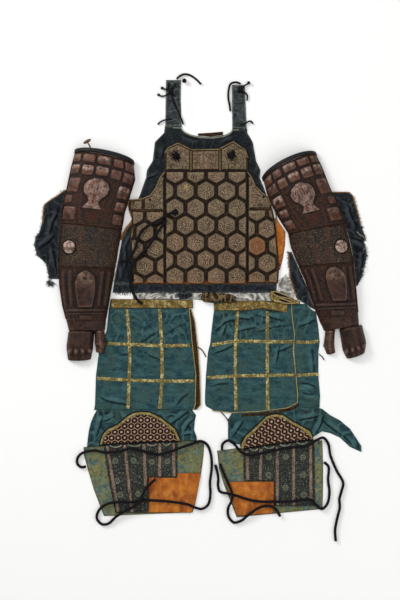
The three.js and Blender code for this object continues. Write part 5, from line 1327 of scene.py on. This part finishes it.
def hand_relief(across, row, place):
    """Four knuckles, with shallow grooves between the fingers and a rolled rim."""
    finger = 0.5 - 0.5 * np.cos((across + 1) * 4 * math.pi)
    ridge = hump(row - 1.9, 0.3)
    lips = hump(row - 2.3, 0.05) + hump(row - 1.45, 0.05)
    rim = 1.3 * hump(1 - np.abs(across), 0.03) * (row < 1.8)
    roll = hump(row - 0.12, 0.08)
    rise = finger * (1 + 4.2 * ridge) - 0.8 * lips * (finger > 0.2) + rim + 0.9 * roll
    light = np.clip(finger * ridge * 1.2 + 0.5 * roll, 0, 1)
    light = np.maximum(light, 0.7 * finger * hump(row - 2.65, 0.2))
    return rise, dict(plate=row * 0 + 1, ridge=light)


def thumb_relief(across, row, place):
    middle = 1.2 * hump(across, 0.25)
    band = hump(row - 0.1, 0.08) + hump(row - 1.1, 0.06)
    light = np.clip(0.6 * middle + 0.7 * band, 0, 1)
    return middle + band, dict(plate=row * 0 + 1, ridge=light, bright=row * 0 + 0.4)


def unit(vector):
    return vector / np.linalg.norm(vector)


def disc_mesh(side, table):
    """Round plate with petals, seated on the elbow."""
    across, row = DISC["across"], DISC["row"]
    spot = arch_line(table, across, row)
    down = arch_line(table, across, row + 0.1) - spot
    aside = arch_line(table, across + 0.05, row) - spot
    up = unit(np.cross(aside, down))
    up = up if up[2] > 0 else -up
    up = unit(up * 0.8 + np.array([0, 0, 0.2]))
    down = unit(down)
    aside = np.cross(up, down)
    down = np.cross(aside, up)
    rings, around = DISC["rings"], DISC["around"]
    points, ridge = [], []
    for j in range(rings + 1):
        share = j / rings
        for i in range(around):
            angle = 2 * math.pi * i / around
            petal = 0.5 + 0.5 * math.cos(angle * DISC["petals"])
            reach = DISC["radius"] * share * (1 - 0.05 * (1 - petal) * share)
            lift = DISC["rise"] * (1 - share ** 4) + 1.0
            lift += petal * float(smooth(share, 0.3, 0.6)) * (1 - share ** 8)
            lift += 1.6 * hump(share, 0.22) if share < 0.5 else 0
            lift -= 5.5 if j == rings else 0
            points.append(spot + aside * reach * math.cos(angle) + down * reach * math.sin(angle) + up * lift)
            ridge.append(petal * 0.8 if 0.3 < share < 0.95 else 0.7)
    faces = []
    for j in range(rings):
        inner = [j * around + i for i in range(around)]
        outer = [index + around for index in inner]
        faces += wall_faces(inner, outer)
    faces.append(outer[::-1])
    masks = dict(plate=np.ones(len(points)), ridge=ridge, bright=np.ones(len(points)))
    add_object(f"kote_{side}_disc", points, faces, LOOKS["iron"], masks)
    angle = np.linspace(0, 2 * math.pi, 61)[:, None]
    rim = spot + (aside * np.cos(angle) + down * np.sin(angle)) * (DISC["radius"] + 1) + up * 0.6
    tubes(f"kote_{side}_disc_rim", [rim], 1.5, LOOKS["cord"])


def build_toggle():
    """An oval toggle on its stem, rooted in the left cap plate."""
    turn, half = TOGGLE["turn"], TOGGLE["half"]
    ahead = np.array([-math.sin(turn), math.cos(turn), 0])
    aside = np.array([math.cos(turn), math.sin(turn), 0])
    foot = arch_line(ARM_LEFT, TOGGLE["across"], 0) + np.array(TOGGLE["foot"])
    stem = [foot + ahead * t for t in np.linspace(0, TOGGLE["stem"], 6)]
    t = np.linspace(-half, half, 15)
    knob = [foot + ahead * TOGGLE["stem"] + aside * k for k in t]
    round_ends = np.sqrt(np.clip(1 - (t / (half + 0.2)) ** 2, 0.02, 1))
    verts, faces = join_parts([tube_part(stem, TOGGLE["stem_radius"]),
                               tube_part(knob, TOGGLE["radius"], 12, round_ends)])
    masks = dict(plate=np.ones(len(verts)), ridge=np.full(len(verts), 0.5))
    add_object("kote_left_toggle", verts, faces, LOOKS["iron"], masks)


def ragged_cloth(name, table, folds, seed, ragged):
    """Backing cloth that shows beside a sleeve, with frayed threads along its ragged edge."""
    flat_cloth("look_" + name, row_panel(table), LOOKS["indigo"], height=worn(folds, 20, 2.2, seed))
    chance = np.random.default_rng(seed)
    inward, out_turn = (2, 180) if ragged == "left" else (-2, 0)
    roots = []
    for y in chance.uniform(table["y"][-1], table["y"][0], 110):
        x = float(lookup(table, "y", ragged, y)) + inward
        roots.append((x, y, 1.8, out_turn + chance.normal(0, 40)))
    threads(name + "_fray", roots, LOOKS["indigo"], seed + 1, (4, 10), 0.7, 0.5)


def build_sleeve(side):
    own = SLEEVES[side]
    arm, mirror = own["arm"], own["mirror"]
    reliefs = dict(cap=("black_iron", cap_relief), upper=("iron", upper_relief), elbow=("mail", elbow_relief),
                   forearm=("dark_iron", forearm_relief(own["leaf"])))
    for piece, (look, relief) in reliefs.items():
        arch_shell(f"kote_{side}_{piece}", arm, STRETCHES[piece], LOOKS[look], relief, mirror=mirror)
    arch_shell(f"kote_{side}_hand", own["hand"], (0, 3), LOOKS["dark_iron"], hand_relief, 0, mirror, 1.6)
    arch_shell(f"kote_{side}_thumb", own["thumb"], (0, 2), LOOKS["dark_iron"], thumb_relief,
               own["thumb_level"], mirror, 1.6)
    disc_mesh(side, arm)
    feet = [arch_line(arm, across, np.linspace(0.3, 9.0, 110), 0.8) for across in (-0.97, 0.97)]
    tubes(f"kote_{side}_rim_piping", feet, 1.9, LOOKS["trim"])
    over = np.sin(np.linspace(-1.45, 1.45, 70))
    tubes(f"kote_{side}_seams", [arch_line(arm, over, row, 0.6) for row in SEAM_ROWS], 1.0, LOOKS["trim"])


def build_sleeves():
    for side in SLEEVES:
        build_sleeve(side)
    build_toggle()
    ragged_cloth("kote_left_cloth", SLEEVE_CLOTH_LEFT, SLEEVE_FOLDS_LEFT, 61, "left")
    ragged_cloth("kote_right_cloth_outer", SLEEVE_CLOTH_OUTER, SLEEVE_FOLDS_OUTER, 62, "right")
    ragged_cloth("kote_right_cloth_inner", SLEEVE_CLOTH_INNER, SLEEVE_FOLDS_INNER, 63, "left")
    tubes("kote_right_ties", [curve_through(tie, 5) for tie in SLEEVE_TIES], 1.3, LOOKS["pale_piping"])
    edge_level = CLOTH_WALL - 0.2
    piping = [finer([(x, y, edge_level) for x, y in line]) for line in SLEEVE_PIPING]
    tubes("kote_cloth_piping", piping, 1.7, LOOKS["orange_piping"])
    chance = np.random.default_rng(70)
    roots = [(-447 + chance.normal(0, 4), 54 + chance.normal(0, 4), 3, chance.uniform(180, 320))
             for _ in range(50)]
    threads("kote_left_tie_end", roots, LOOKS["indigo"], 71, (8, 18), 1.0, 0.5)

# Thigh aprons

def apron_hem(u):
    return lookup(APRON_RIGHT_HEM, "across", "y", u)


APRON_PARTS = {
    "left": dict(
        table=APRON_LEFT, folds=APRON_FOLDS_LEFT, band=BAND_LEFT, hem=None, seed=81,
        uprights=[[(-219, -27.5), (-211, -135), (-213, -255), (-216, -326)],
                  [(-121, -27.5), (-115, -135), (-114, -240), (-121, -326)]],
        bars=[[(-278, -131), (-210, -133), (-120, -137), (-30, -136)],
              [(-309, -235), (-215, -240), (-114, -243), (-16, -243)]]),
    "right": dict(
        table=APRON_RIGHT, folds=APRON_FOLDS_RIGHT, band=BAND_RIGHT, hem=apron_hem, seed=82,
        uprights=[[(113, -34), (107, -125), (106, -225), (108, -332)],
                  [(202, -34), (202, -125), (202, -225), (203, -330)]],
        bars=[[(36, -135), (105, -124), (202, -125), (278, -125)],
              [(22, -233), (108, -228), (202, -226), (284, -225)]]),
}
SIDE_BARS = [[(287, -126), (320, -127), (355, -124)], [(293, -226), (325, -224), (354, -223)]]
HEM_SPAN = (15, 288)
FOLD_OPENING_LEVEL = 9.7
APRON_TIES = (
    [(63, -336, 3.6), (72, -345, 5), (84, -362, 6), (87, -372, 5)],
    [(357, -162, 3.4), (366, -170, 3), (372, -180, 3)],
    [(-6, -141, 4), (6, -150, 3), (18, -171, 3)],
)


def ribbon_part(points, upright, height_at):
    """A brocade ribbon that follows the cloth under it."""
    line = curve_through([(x, y, 0) for x, y in points], 30)
    reach = np.linspace(-0.5, 0.5, 6) * RIBBON_WIDTH
    x = line[:, 0][:, None] + (reach[None, :] if upright else 0 * reach[None, :])
    y = line[:, 1][:, None] + (0 * reach[None, :] if upright else -reach[None, :])
    floor = height_at(x, y)
    thick = RIBBON_WALL * (1 - 0.5 * (np.abs(reach) * 2 / RIBBON_WIDTH) ** 6)
    top = np.stack([x, y, floor + 0.35 + thick[None, :]], axis=-1)
    under = np.stack([x, y, floor + 0.1], axis=-1)
    points = np.concatenate([top.reshape(-1, 3), under.reshape(-1, 3)])
    return points, flipped(shell_faces(*x.shape))


def ribbons(name, parts):
    verts, faces = join_parts(parts)
    return add_object(name, verts, faces, LOOKS["gold"], dict(edge=np.full(len(verts), 5.0)))


def build_apron(side):
    own = APRON_PARTS[side]
    seed = own["seed"]

    def swell(x, y, edge):
        """Folds and creases, more of them higher up, pressed flat where the band lies on the cloth."""
        small = 1.3 * creases(x, y, 24, seed) + 0.8 * creases(x, y, 11, seed + 3)
        upper = smooth(y, -190, -90)
        soft = 0.5 * grain(x, y, 30, seed + 1)
        free = smooth(lookup(own["band"], "x", "bottom", x) - y, 0, 9)
        return (fold_height(own["folds"], x, y) + small * (0.35 + 0.9 * upper) + soft) * free

    def height_at(x, y):
        return CLOTH_WALL + swell(x, y, 0)

    def band_height(x, y, edge):
        return 0.9 * creases(x, y, 18, seed + 6)

    plan = row_panel(own["table"], bottom=own["hem"])
    flat_cloth(f"look_haidate_{side}_body", plan, LOOKS["teal"], height=swell, cell=2.1)
    parts = [ribbon_part(points, True, height_at) for points in own["uprights"]]
    parts += [ribbon_part(points, False, height_at) for points in own["bars"]]
    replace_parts(ribbons(f"look_haidate_{side}_ribbons", parts), f"haidate_{side}_ribbons")
    flat_cloth(f"look_haidate_{side}_band", column_panel(own["band"]), LOOKS["band"], OVER_CLOTH,
               height=band_height)


def lower_height(folds, knee, seed):
    """Gathered cloth that lies level where the knee plate covers it."""
    base = worn(folds, 22, 2.4, seed)

    def height(x, y, edge):
        beside = (x > knee["x"][0] - 2) & (x < knee["x"][-1] + 2)
        under = beside & (y < lookup(knee, "x", "top", x) + 2)
        return np.where(under, 0, base(x, y, edge))
    return height


def side_top(u):
    return -12 - 22 * smooth(u, 0.5, 1)


def build_apron_sides():
    flat_cloth("look_haidate_left_side", row_panel(SIDE_LEFT), LOOKS["trim"], height=worn(None, 20, 0.6, 84))
    lines = [finer(edge_line(SIDE_LEFT, "y", side, CLOTH_WALL + 0.3)) for side in ("left", "right")]
    lines[1][:, 0] -= 1.5
    tubes("haidate_left_piping", lines, 1.3, LOOKS["bright_piping"])
    side_folds = worn(SIDE_FOLDS, 24, 1.4, 85)

    def bar_level(x, y):
        return CLOTH_WALL + 0.2 + side_folds(x, y, 0)

    flat_cloth("look_haidate_right_side", row_panel(SIDE_RIGHT, side_top), LOOKS["teal"], height=side_folds)
    ribbons("haidate_right_side_ribbons", [ribbon_part(bar, False, bar_level) for bar in SIDE_BARS])
    right_edge = edge_line(APRON_RIGHT, "y", "right", CLOTH_WALL + 0.4)[:-1]
    across, y = APRON_RIGHT_HEM["across"][::-1], APRON_RIGHT_HEM["y"][::-1]
    x = HEM_SPAN[0] + (HEM_SPAN[1] - HEM_SPAN[0]) * across
    hem = np.stack([x, y + 1, np.full(len(x), CLOTH_WALL + 0.3)], axis=-1)
    outline = finer(np.concatenate([right_edge, hem[1:-1]]))
    tubes("haidate_right_piping", [outline], 1.3, LOOKS["bright_piping"])


def waistband_height(x, y, edge):
    return 4.0 * creases(x, y * 1.5, 19, 88) + 1.2 * grain(x, y, 14, 94)


def band_fold_height(x, y, edge):
    return 1.0 * creases(x, y, 20, 89) + 1.4 * hump(edge - 5, 2.5)


def scrap_height(x, y, edge):
    return 6.0 * creases(x, y, 8, 93) + grain(x, y, 6, 90)


def belt_end_height(x, y, edge):
    return 5.0 * creases(x, y, 13, 90) + 1.5 * grain(x, y, 9, 91)


def build_waist():
    flat_cloth("look_haidate_waistband", column_panel(WAISTBAND), LOOKS["white"], wall=2.0,
               height=waistband_height)
    flat_cloth("look_haidate_right_band_fold", column_panel(BAND_FOLD), LOOKS["band"],
               OVER_CLOTH + CLOTH_WALL + GAP, height=band_fold_height)
    # The two openings of the rolled fold are black sheets, the painted shade inside the fold, with pale lips
    # round them.
    for number, table in enumerate((FOLD_OPENING_UPPER, FOLD_OPENING_LOWER)):
        flat_cloth(f"haidate_band_opening_shade_{number}", column_panel(table), LOOKS["cord"],
                   FOLD_OPENING_LEVEL, 0.5)
        lips = [finer(edge_line(table, "x", side, FOLD_OPENING_LEVEL + 0.2)) for side in ("top", "bottom")]
        tubes(f"haidate_band_lips_{number}", lips, 1.5, LOOKS["bright_piping"])
    flat_cloth("haidate_navy_scrap", column_panel(NAVY_SCRAP), LOOKS["indigo"], 5.6, 3.5, scrap_height,
               cell=1.5)
    flat_cloth("look_haidate_belt_end", column_panel(BELT_END), LOOKS["belt"], 6.0, 6.0, belt_end_height,
               cell=1.5)


def build_aprons():
    build_apron("left")
    build_apron("right")
    build_apron_sides()
    flat_cloth("look_haidate_left_lower", row_panel(LOWER_LEFT, bottom=slant(-441.6, 18, 1.25)),
               LOOKS["teal"], height=lower_height(LOWER_FOLDS_LEFT, KNEE_LEFT, 86))
    flat_cloth("look_haidate_right_lower", column_panel(LOWER_RIGHT), LOOKS["teal"],
               height=lower_height(LOWER_FOLDS_RIGHT, KNEE_RIGHT, 87))
    hem_strip = finer([(x, y, 2.6) for x, y in HEM_STRIP])
    tubes("haidate_right_hem_strip", [hem_strip, hem_strip + np.array([0, -3.2, 0])], 2.6, LOOKS["trim"])
    build_waist()
    tubes("haidate_ties", [curve_through(tie, 5) for tie in APRON_TIES], 1.6, LOOKS["trim"])
    chance = np.random.default_rng(92)
    roots = [(x, -438 + 0.05 * (x + 300), 3, chance.uniform(240, 300)) for x in chance.uniform(-335, -12, 60)]
    threads("haidate_left_fray", roots, LOOKS["teal"], 93, (4, 8), 0.6, 0.5)


# Shin guards

KNEE_RIM = dict(border=5.5, width=3.2, line=9.4, line_width=0.9)
ROSETTE = dict(leaves=6, radius=6.6, width=1.9, middle=1.8)
SCALLOP = dict(gap=9, depth=9, points=15, level=OVER_CLOTH + 3.0)
SHIN_PARTS = {
    "left": dict(
        cloth=SHIN_LEFT, knee=KNEE_LEFT, splints=SPLINTS_LEFT, leather=LEATHER_LEFT,
        mail=((MAIL_LEFT_A, slant(-434.5, 6.0)), (MAIL_LEFT_B, slant(-428.6, 5.0))),
        top=slant(-441, 17, 1.25), bottom=slant(-648, 11), origin=(-177, -360), slope=0.02,
        rosettes=((-199, -482), (-254, -482), (-248, -542), (-186, -581), (-239, -584), (-144, -485),
                  (-98, -484))),
    "right": dict(
        cloth=SHIN_RIGHT, knee=KNEE_RIGHT, splints=SPLINTS_RIGHT, leather=LEATHER_RIGHT,
        mail=((MAIL_RIGHT_A, slant(-448, 14)), (MAIL_RIGHT_B, slant(-434, 15))),
        top=slant(-452, 31, 1.3), bottom=slant(-652, 25), origin=(234, -362), slope=0.14,
        rosettes=((257, -470), (309, -472), (310, -524), (256, -562), (206, -470), (311, -584),
                  (206, -524))),
}


def knee_plate(side, own):
    """The knee plate: little hexagons inside a brocade border that follows its curved top."""
    knee = own["knee"]
    slope = np.gradient(knee["top"], knee["x"])

    def rim(x, y, edge):
        lean = np.sqrt(1 + np.interp(x, knee["x"], slope) ** 2)
        ends = np.minimum(x - knee["x"][0], knee["x"][-1] - x)
        return np.minimum((lookup(knee, "x", "top", x) - y) / lean, ends + 1.5)

    def foot(x, y, edge):
        return y - lookup(knee, "x", "bottom", x)

    def reach(x, y, edge):
        return hex_cells(x, y, SMALL_HEX, own["origin"], own["slope"])[0]

    def height(x, y, edge):
        away, from_rim = reach(x, y, edge), rim(x, y, edge)
        inside = smooth(edge, 1.5, 3) * smooth(from_rim, 8.5, 10)
        dimple = 0.5 * hump(away, 0.35)
        plate = smooth(1 - away, -0.02, 0.2) * SMALL_HEX["rise"]
        border = 0.9 * hump(from_rim - KNEE_RIM["border"], KNEE_RIM["width"], 4)
        line = 0.8 * hump(from_rim - KNEE_RIM["line"], KNEE_RIM["line_width"])
        return (plate + dimple) * inside + border - line

    masks = dict(plate=reach, rim=rim, foot=foot)
    flat_cloth(f"look_suneate_{side}_knee", column_panel(knee), LOOKS["knee"], OVER_CLOTH, PLATED_WALL,
               height, masks, 1.5)


def splint_reach(x, y, splints):
    """1 on a splint's crown, down to 0 at its edge."""
    best = np.zeros_like(x)
    for splint in each(splints):
        t = np.clip((y - splint["topY"]) / (splint["footY"] - splint["topY"]), 0, 1)
        middle = splint["topX"] + (splint["footX"] - splint["topX"]) * t
        end = np.minimum(splint["topY"] - y, y - splint["footY"])
        aside = np.abs(x - middle) / splint["half"]
        best = np.maximum(best, np.where(end > -0.5, np.clip(1 - aside, 0, 1) * smooth(end, -0.5, 3), 0))
    return best


def build_mail(side, own):
    """The mail with its splints, in two panels that stand for one node."""
    def plate_mask(x, y, edge):
        return splint_reach(x, y, own["splints"])

    def height(x, y, edge):
        crown = splint_reach(x, y, own["splints"])
        return SPLINT_RISE * smooth(crown, 0.02, 0.75) * 1.1 + 0.35 * grain(x, y, 5.5, 96)

    def rosette(x, y, edge):
        drawn = np.zeros_like(x)
        for rx, ry in own["rosettes"]:
            near = np.hypot(x - rx, y - ry)
            leaf = 0.5 + 0.5 * np.cos(ROSETTE["leaves"] * np.arctan2(y - ry, x - rx))
            outer = hump(near - ROSETTE["radius"], ROSETTE["width"]) * (0.25 + 0.75 * leaf)
            drawn = np.maximum(drawn, outer + 0.8 * hump(near, ROSETTE["middle"]))
        return np.clip(drawn, 0, 1)

    node = f"suneate_{side}_splints"
    for ending, (table, top) in zip(("", "_b"), own["mail"]):
        flat_cloth(f"look_{node}{ending}", row_panel(table, top), LOOKS["splints"], OVER_CLOTH, CLOTH_WALL,
                   height, dict(plate=plate_mask, rosette=rosette), 1.9, node)


def build_scallops(side, own):
    """Pale piping that hangs in bows between the splints' upper ends."""
    turn = np.linspace(math.pi * 1.08, math.pi * 1.92, SCALLOP["points"])
    tops = own["splints"]["topX"]
    bows = []
    for x, half in zip((tops[1:] + tops[:-1]) / 2, (tops[1:] - tops[:-1]) / 2 - SCALLOP["gap"]):
        y = float(lookup(own["knee"], "x", "bottom", x)) - 1
        bows.append(np.stack([x + half * np.cos(turn), y + SCALLOP["depth"] * np.sin(turn),
                              np.full(len(turn), SCALLOP["level"])], axis=-1))
    tubes(f"suneate_{side}_scallops", bows, 1.9, LOOKS["pale_piping"])


def shin_height(x, y, edge):
    return 0.6 * creases(x, y, 18, 95) * (edge < 60)


def patch_height(x, y, edge):
    return 0.9 * creases(x, y, 26, 97) + 0.4 * grain(x, y, 14, 98)


def build_shin(side):
    own = SHIN_PARTS[side]
    flat_cloth(f"look_suneate_{side}_cloth", row_panel(own["cloth"], own["top"], own["bottom"]),
               LOOKS["shin"], height=shin_height)
    build_mail(side, own)
    flat_cloth(f"look_suneate_{side}_leather", column_panel(own["leather"]), LOOKS["leather"], OVER_CLOTH,
               LEATHER_WALL, patch_height)
    knee_plate(side, own)
    build_scallops(side, own)
    edges = [finer(edge_line(own["knee"], "x", "top", OVER_CLOTH + 2.2)),
             finer(edge_line(own["knee"], "x", "bottom", OVER_CLOTH + 1.8))]
    tubes(f"suneate_{side}_knee_edge", edges, 2.2, LOOKS["cord"])


# Cords: the same points as their solids

CORDS = {
    "do_cord_side_upper": dict(radius=4, far_end="knot", route=[
        (-75, 262, 13.8), (-90, 259, 13.8), (-126, 237, 13.8), (-160, 219, 13.8), (-177, 202, 13.8),
        (-189, 172, 13.8), (-196, 150, 13.8), (-209, 129, 13), (-222, 118, 9), (-236, 116, 8.5)]),
    "do_cord_side_lower": dict(radius=4, far_end="knot", route=[
        (-100, 240, 13.8), (-114, 221, 13.8), (-136, 190, 13.8), (-152, 164, 13.8), (-180, 134, 13.8),
        (-199, 112, 13.8), (-209, 84, 11), (-210, 60, 8), (-205, 34, 7.2), (-197, 14, 9),
        (-185, -2, 10), (-172, -12, 10)]),
    "do_cord_strap_left": dict(radius=3, far_end="knot", route=[
        (-70, 662.7, 3.4), (-60, 672, 3.4), (-46, 677, 3.4), (-30, 674, 3.4), (-13, 663, 3.4),
        (3, 647, 3.4)]),
    "do_cord_strap_right": dict(radius=3, far_end="knot", route=[
        (122, 648.5, 3.4), (108, 653, 3.4), (92, 648, 3.4), (86, 630, 3.4), (85, 606, 3.4), (89, 584, 3.4),
        (91, 566, 3.4)]),
    "suneate_left_cord": dict(radius=4, far_end="bare", route=[
        (-342, -499, 6.9), (-356, -501, 4.6), (-367, -492, 4.6), (-368, -477, 4.6), (-360, -464, 6),
        (-344, -455, 7.6), (-315, -451, 8), (-284, -456, 12.8), (-240, -453, 12.8), (-207, -444, 12.8),
        (-186, -448, 12.8), (-150, -458, 12.8), (-120, -462, 12.8), (-92, -455, 12.8),
        (-60, -443, 12.6), (-30, -433, 8.5), (2, -423, 7.8), (20, -432, 6.6), (32, -460, 4.6),
        (35, -504, 4.6), (30, -546, 4.6), (31, -585, 4.6), (24, -614, 4.6), (6, -626, 4.6),
        (-14, -622, 8.8), (-34, -613, 9.6), (-90, -604, 9), (-146, -600, 11), (-164, -600, 12.8),
        (-210, -605, 12.8), (-258, -606, 12.8), (-288, -616, 8.5), (-305, -634, 5), (-309, -655, 4.6),
        (-294, -672, 4.6), (-274, -670, 4.6), (-252, -650, 8), (-215, -627, 12.8), (-188, -611, 19),
        (-176, -595, 21.5), (-165, -570, 13.4), (-147, -549, 12.8), (-133, -536, 12.8)]),
    "suneate_right_cord_upper": dict(radius=4, far_end="bare", route=[
        (66, -450, 7.2), (68, -432, 5.5), (84, -421, 6.5), (101, -430, 7.6), (124, -456, 11.5),
        (152, -464, 12.8), (210, -453, 12.8), (270, -442, 12.8), (322, -436, 13.2), (350, -419, 11),
        (370, -413, 7.2), (384, -430, 5), (391, -466, 4.6), (410, -512, 4.6), (429, -548, 4.6),
        (424, -574, 4.6), (418, -596, 4.6), (419, -622, 4.6), (411, -656, 4.6), (405, -690, 4.6),
        (407, -723, 4.6)]),
    "suneate_right_cord_lower": dict(radius=4, far_end="bare", route=[
        (372, -486, 4.6), (385, -499, 4.6), (384, -540, 4.6), (388, -576, 4.6), (382, -610, 4.6),
        (366, -626, 7.2), (350, -616, 9.5), (332, -598, 13.2), (285, -602, 13.2), (240, -604, 13.2),
        (216, -604, 10.5), (186, -604, 9), (150, -599, 9), (108, -586, 9), (84, -580, 9),
        (60, -574, 4.6), (54, -556, 4.6), (55, -535, 4.6), (50, -508, 4.6), (46, -494, 4.6)]),
    "suneate_right_cord_front": dict(radius=4, far_end="bare", route=[
        (60, -490, 7), (69, -514, 7.2), (84, -548, 9), (94, -572, 17), (97, -586, 19), (94, -602, 15.5),
        (84, -626, 4.6), (86, -650, 4.6), (102, -667, 4.6), (126, -660, 5.4), (138, -650, 8),
        (150, -640, 10), (180, -621, 9), (208, -617, 10), (226, -625, 12.8), (240, -648, 6.4)]),
}


def build_cords():
    for name, own in CORDS.items():
        line = curve_through(own["route"], 8)
        line[:, 2] = np.maximum(line[:, 2], own["radius"] + GAP)
        verts, faces = tube_part(line, own["radius"], 10)
        piece = add_object("look_" + name, verts, faces, LOOKS["cord"])
        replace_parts(piece, name)


FLOOR = dict(size=12, drop=0.0004, colour=(0.92, 0.92, 0.91, 1), roughness=0.9)


def build_stage():
    bpy.ops.mesh.primitive_plane_add(size=FLOOR["size"], location=(0, 0, -FLOOR["drop"]))
    floor = bpy.context.object
    floor.name = "floor"
    paint = bpy.data.materials.new("floor")
    paint.use_nodes = True
    shader = paint.node_tree.nodes["Principled BSDF"]
    shader.inputs["Base Color"].default_value = FLOOR["colour"]
    shader.inputs["Roughness"].default_value = FLOOR["roughness"]
    floor.data.materials.append(paint)


# Each light: its name, place and size in metres, and power in watts
LIGHTS = (
    ("key", (-3.4, 3.0, 2.6), 1.4, 150),
    ("fill", (2.8, -1.4, 3.0), 3.0, 40),
    ("top", (0.4, 0.6, 5.0), 4.0, 60),
)
WORLD_LIGHT = 0.5
CAMERA = dict(height=6.0, focal=120, sensor=36, clip_end=50)


def build_lights():
    for name, place, size, power in LIGHTS:
        light = bpy.data.lights.new(name, "AREA")
        light.size = size
        light.energy = power
        lamp = bpy.data.objects.new(name, light)
        lamp.location = place
        bpy.context.scene.collection.objects.link(lamp)
        aim = lamp.constraints.new("TRACK_TO")
        aim.target = frame["bodies"]["root"]
        aim.track_axis = "TRACK_NEGATIVE_Z"
        aim.up_axis = "UP_Y"
    world = bpy.data.worlds.new("studio")
    world.use_nodes = True
    world.node_tree.nodes["Background"].inputs["Color"].default_value = (1, 1, 1, 1)
    world.node_tree.nodes["Background"].inputs["Strength"].default_value = WORLD_LIGHT
    bpy.context.scene.world = world
    bpy.context.scene.view_settings.view_transform = "Standard"


def build_camera():
    """Straight above the sheet's origin, so that a pixel of the photo is three millimetres."""
    lens = bpy.data.cameras.new("camera")
    lens.sensor_fit = "VERTICAL"
    lens.sensor_height = CAMERA["sensor"]
    lens.lens = CAMERA["focal"]
    lens.clip_end = CAMERA["clip_end"]
    camera = bpy.data.objects.new("camera", lens)
    camera.location = (SHEET_SHIFT[0] * MM, SHEET_SHIFT[1] * MM, CAMERA["height"])
    bpy.context.scene.collection.objects.link(camera)
    bpy.context.scene.camera = camera


build_camera()
build_cords()
build_cuirass()
build_sleeves()
build_aprons()
build_shin("left")
build_shin("right")
build_stage()
build_lights()
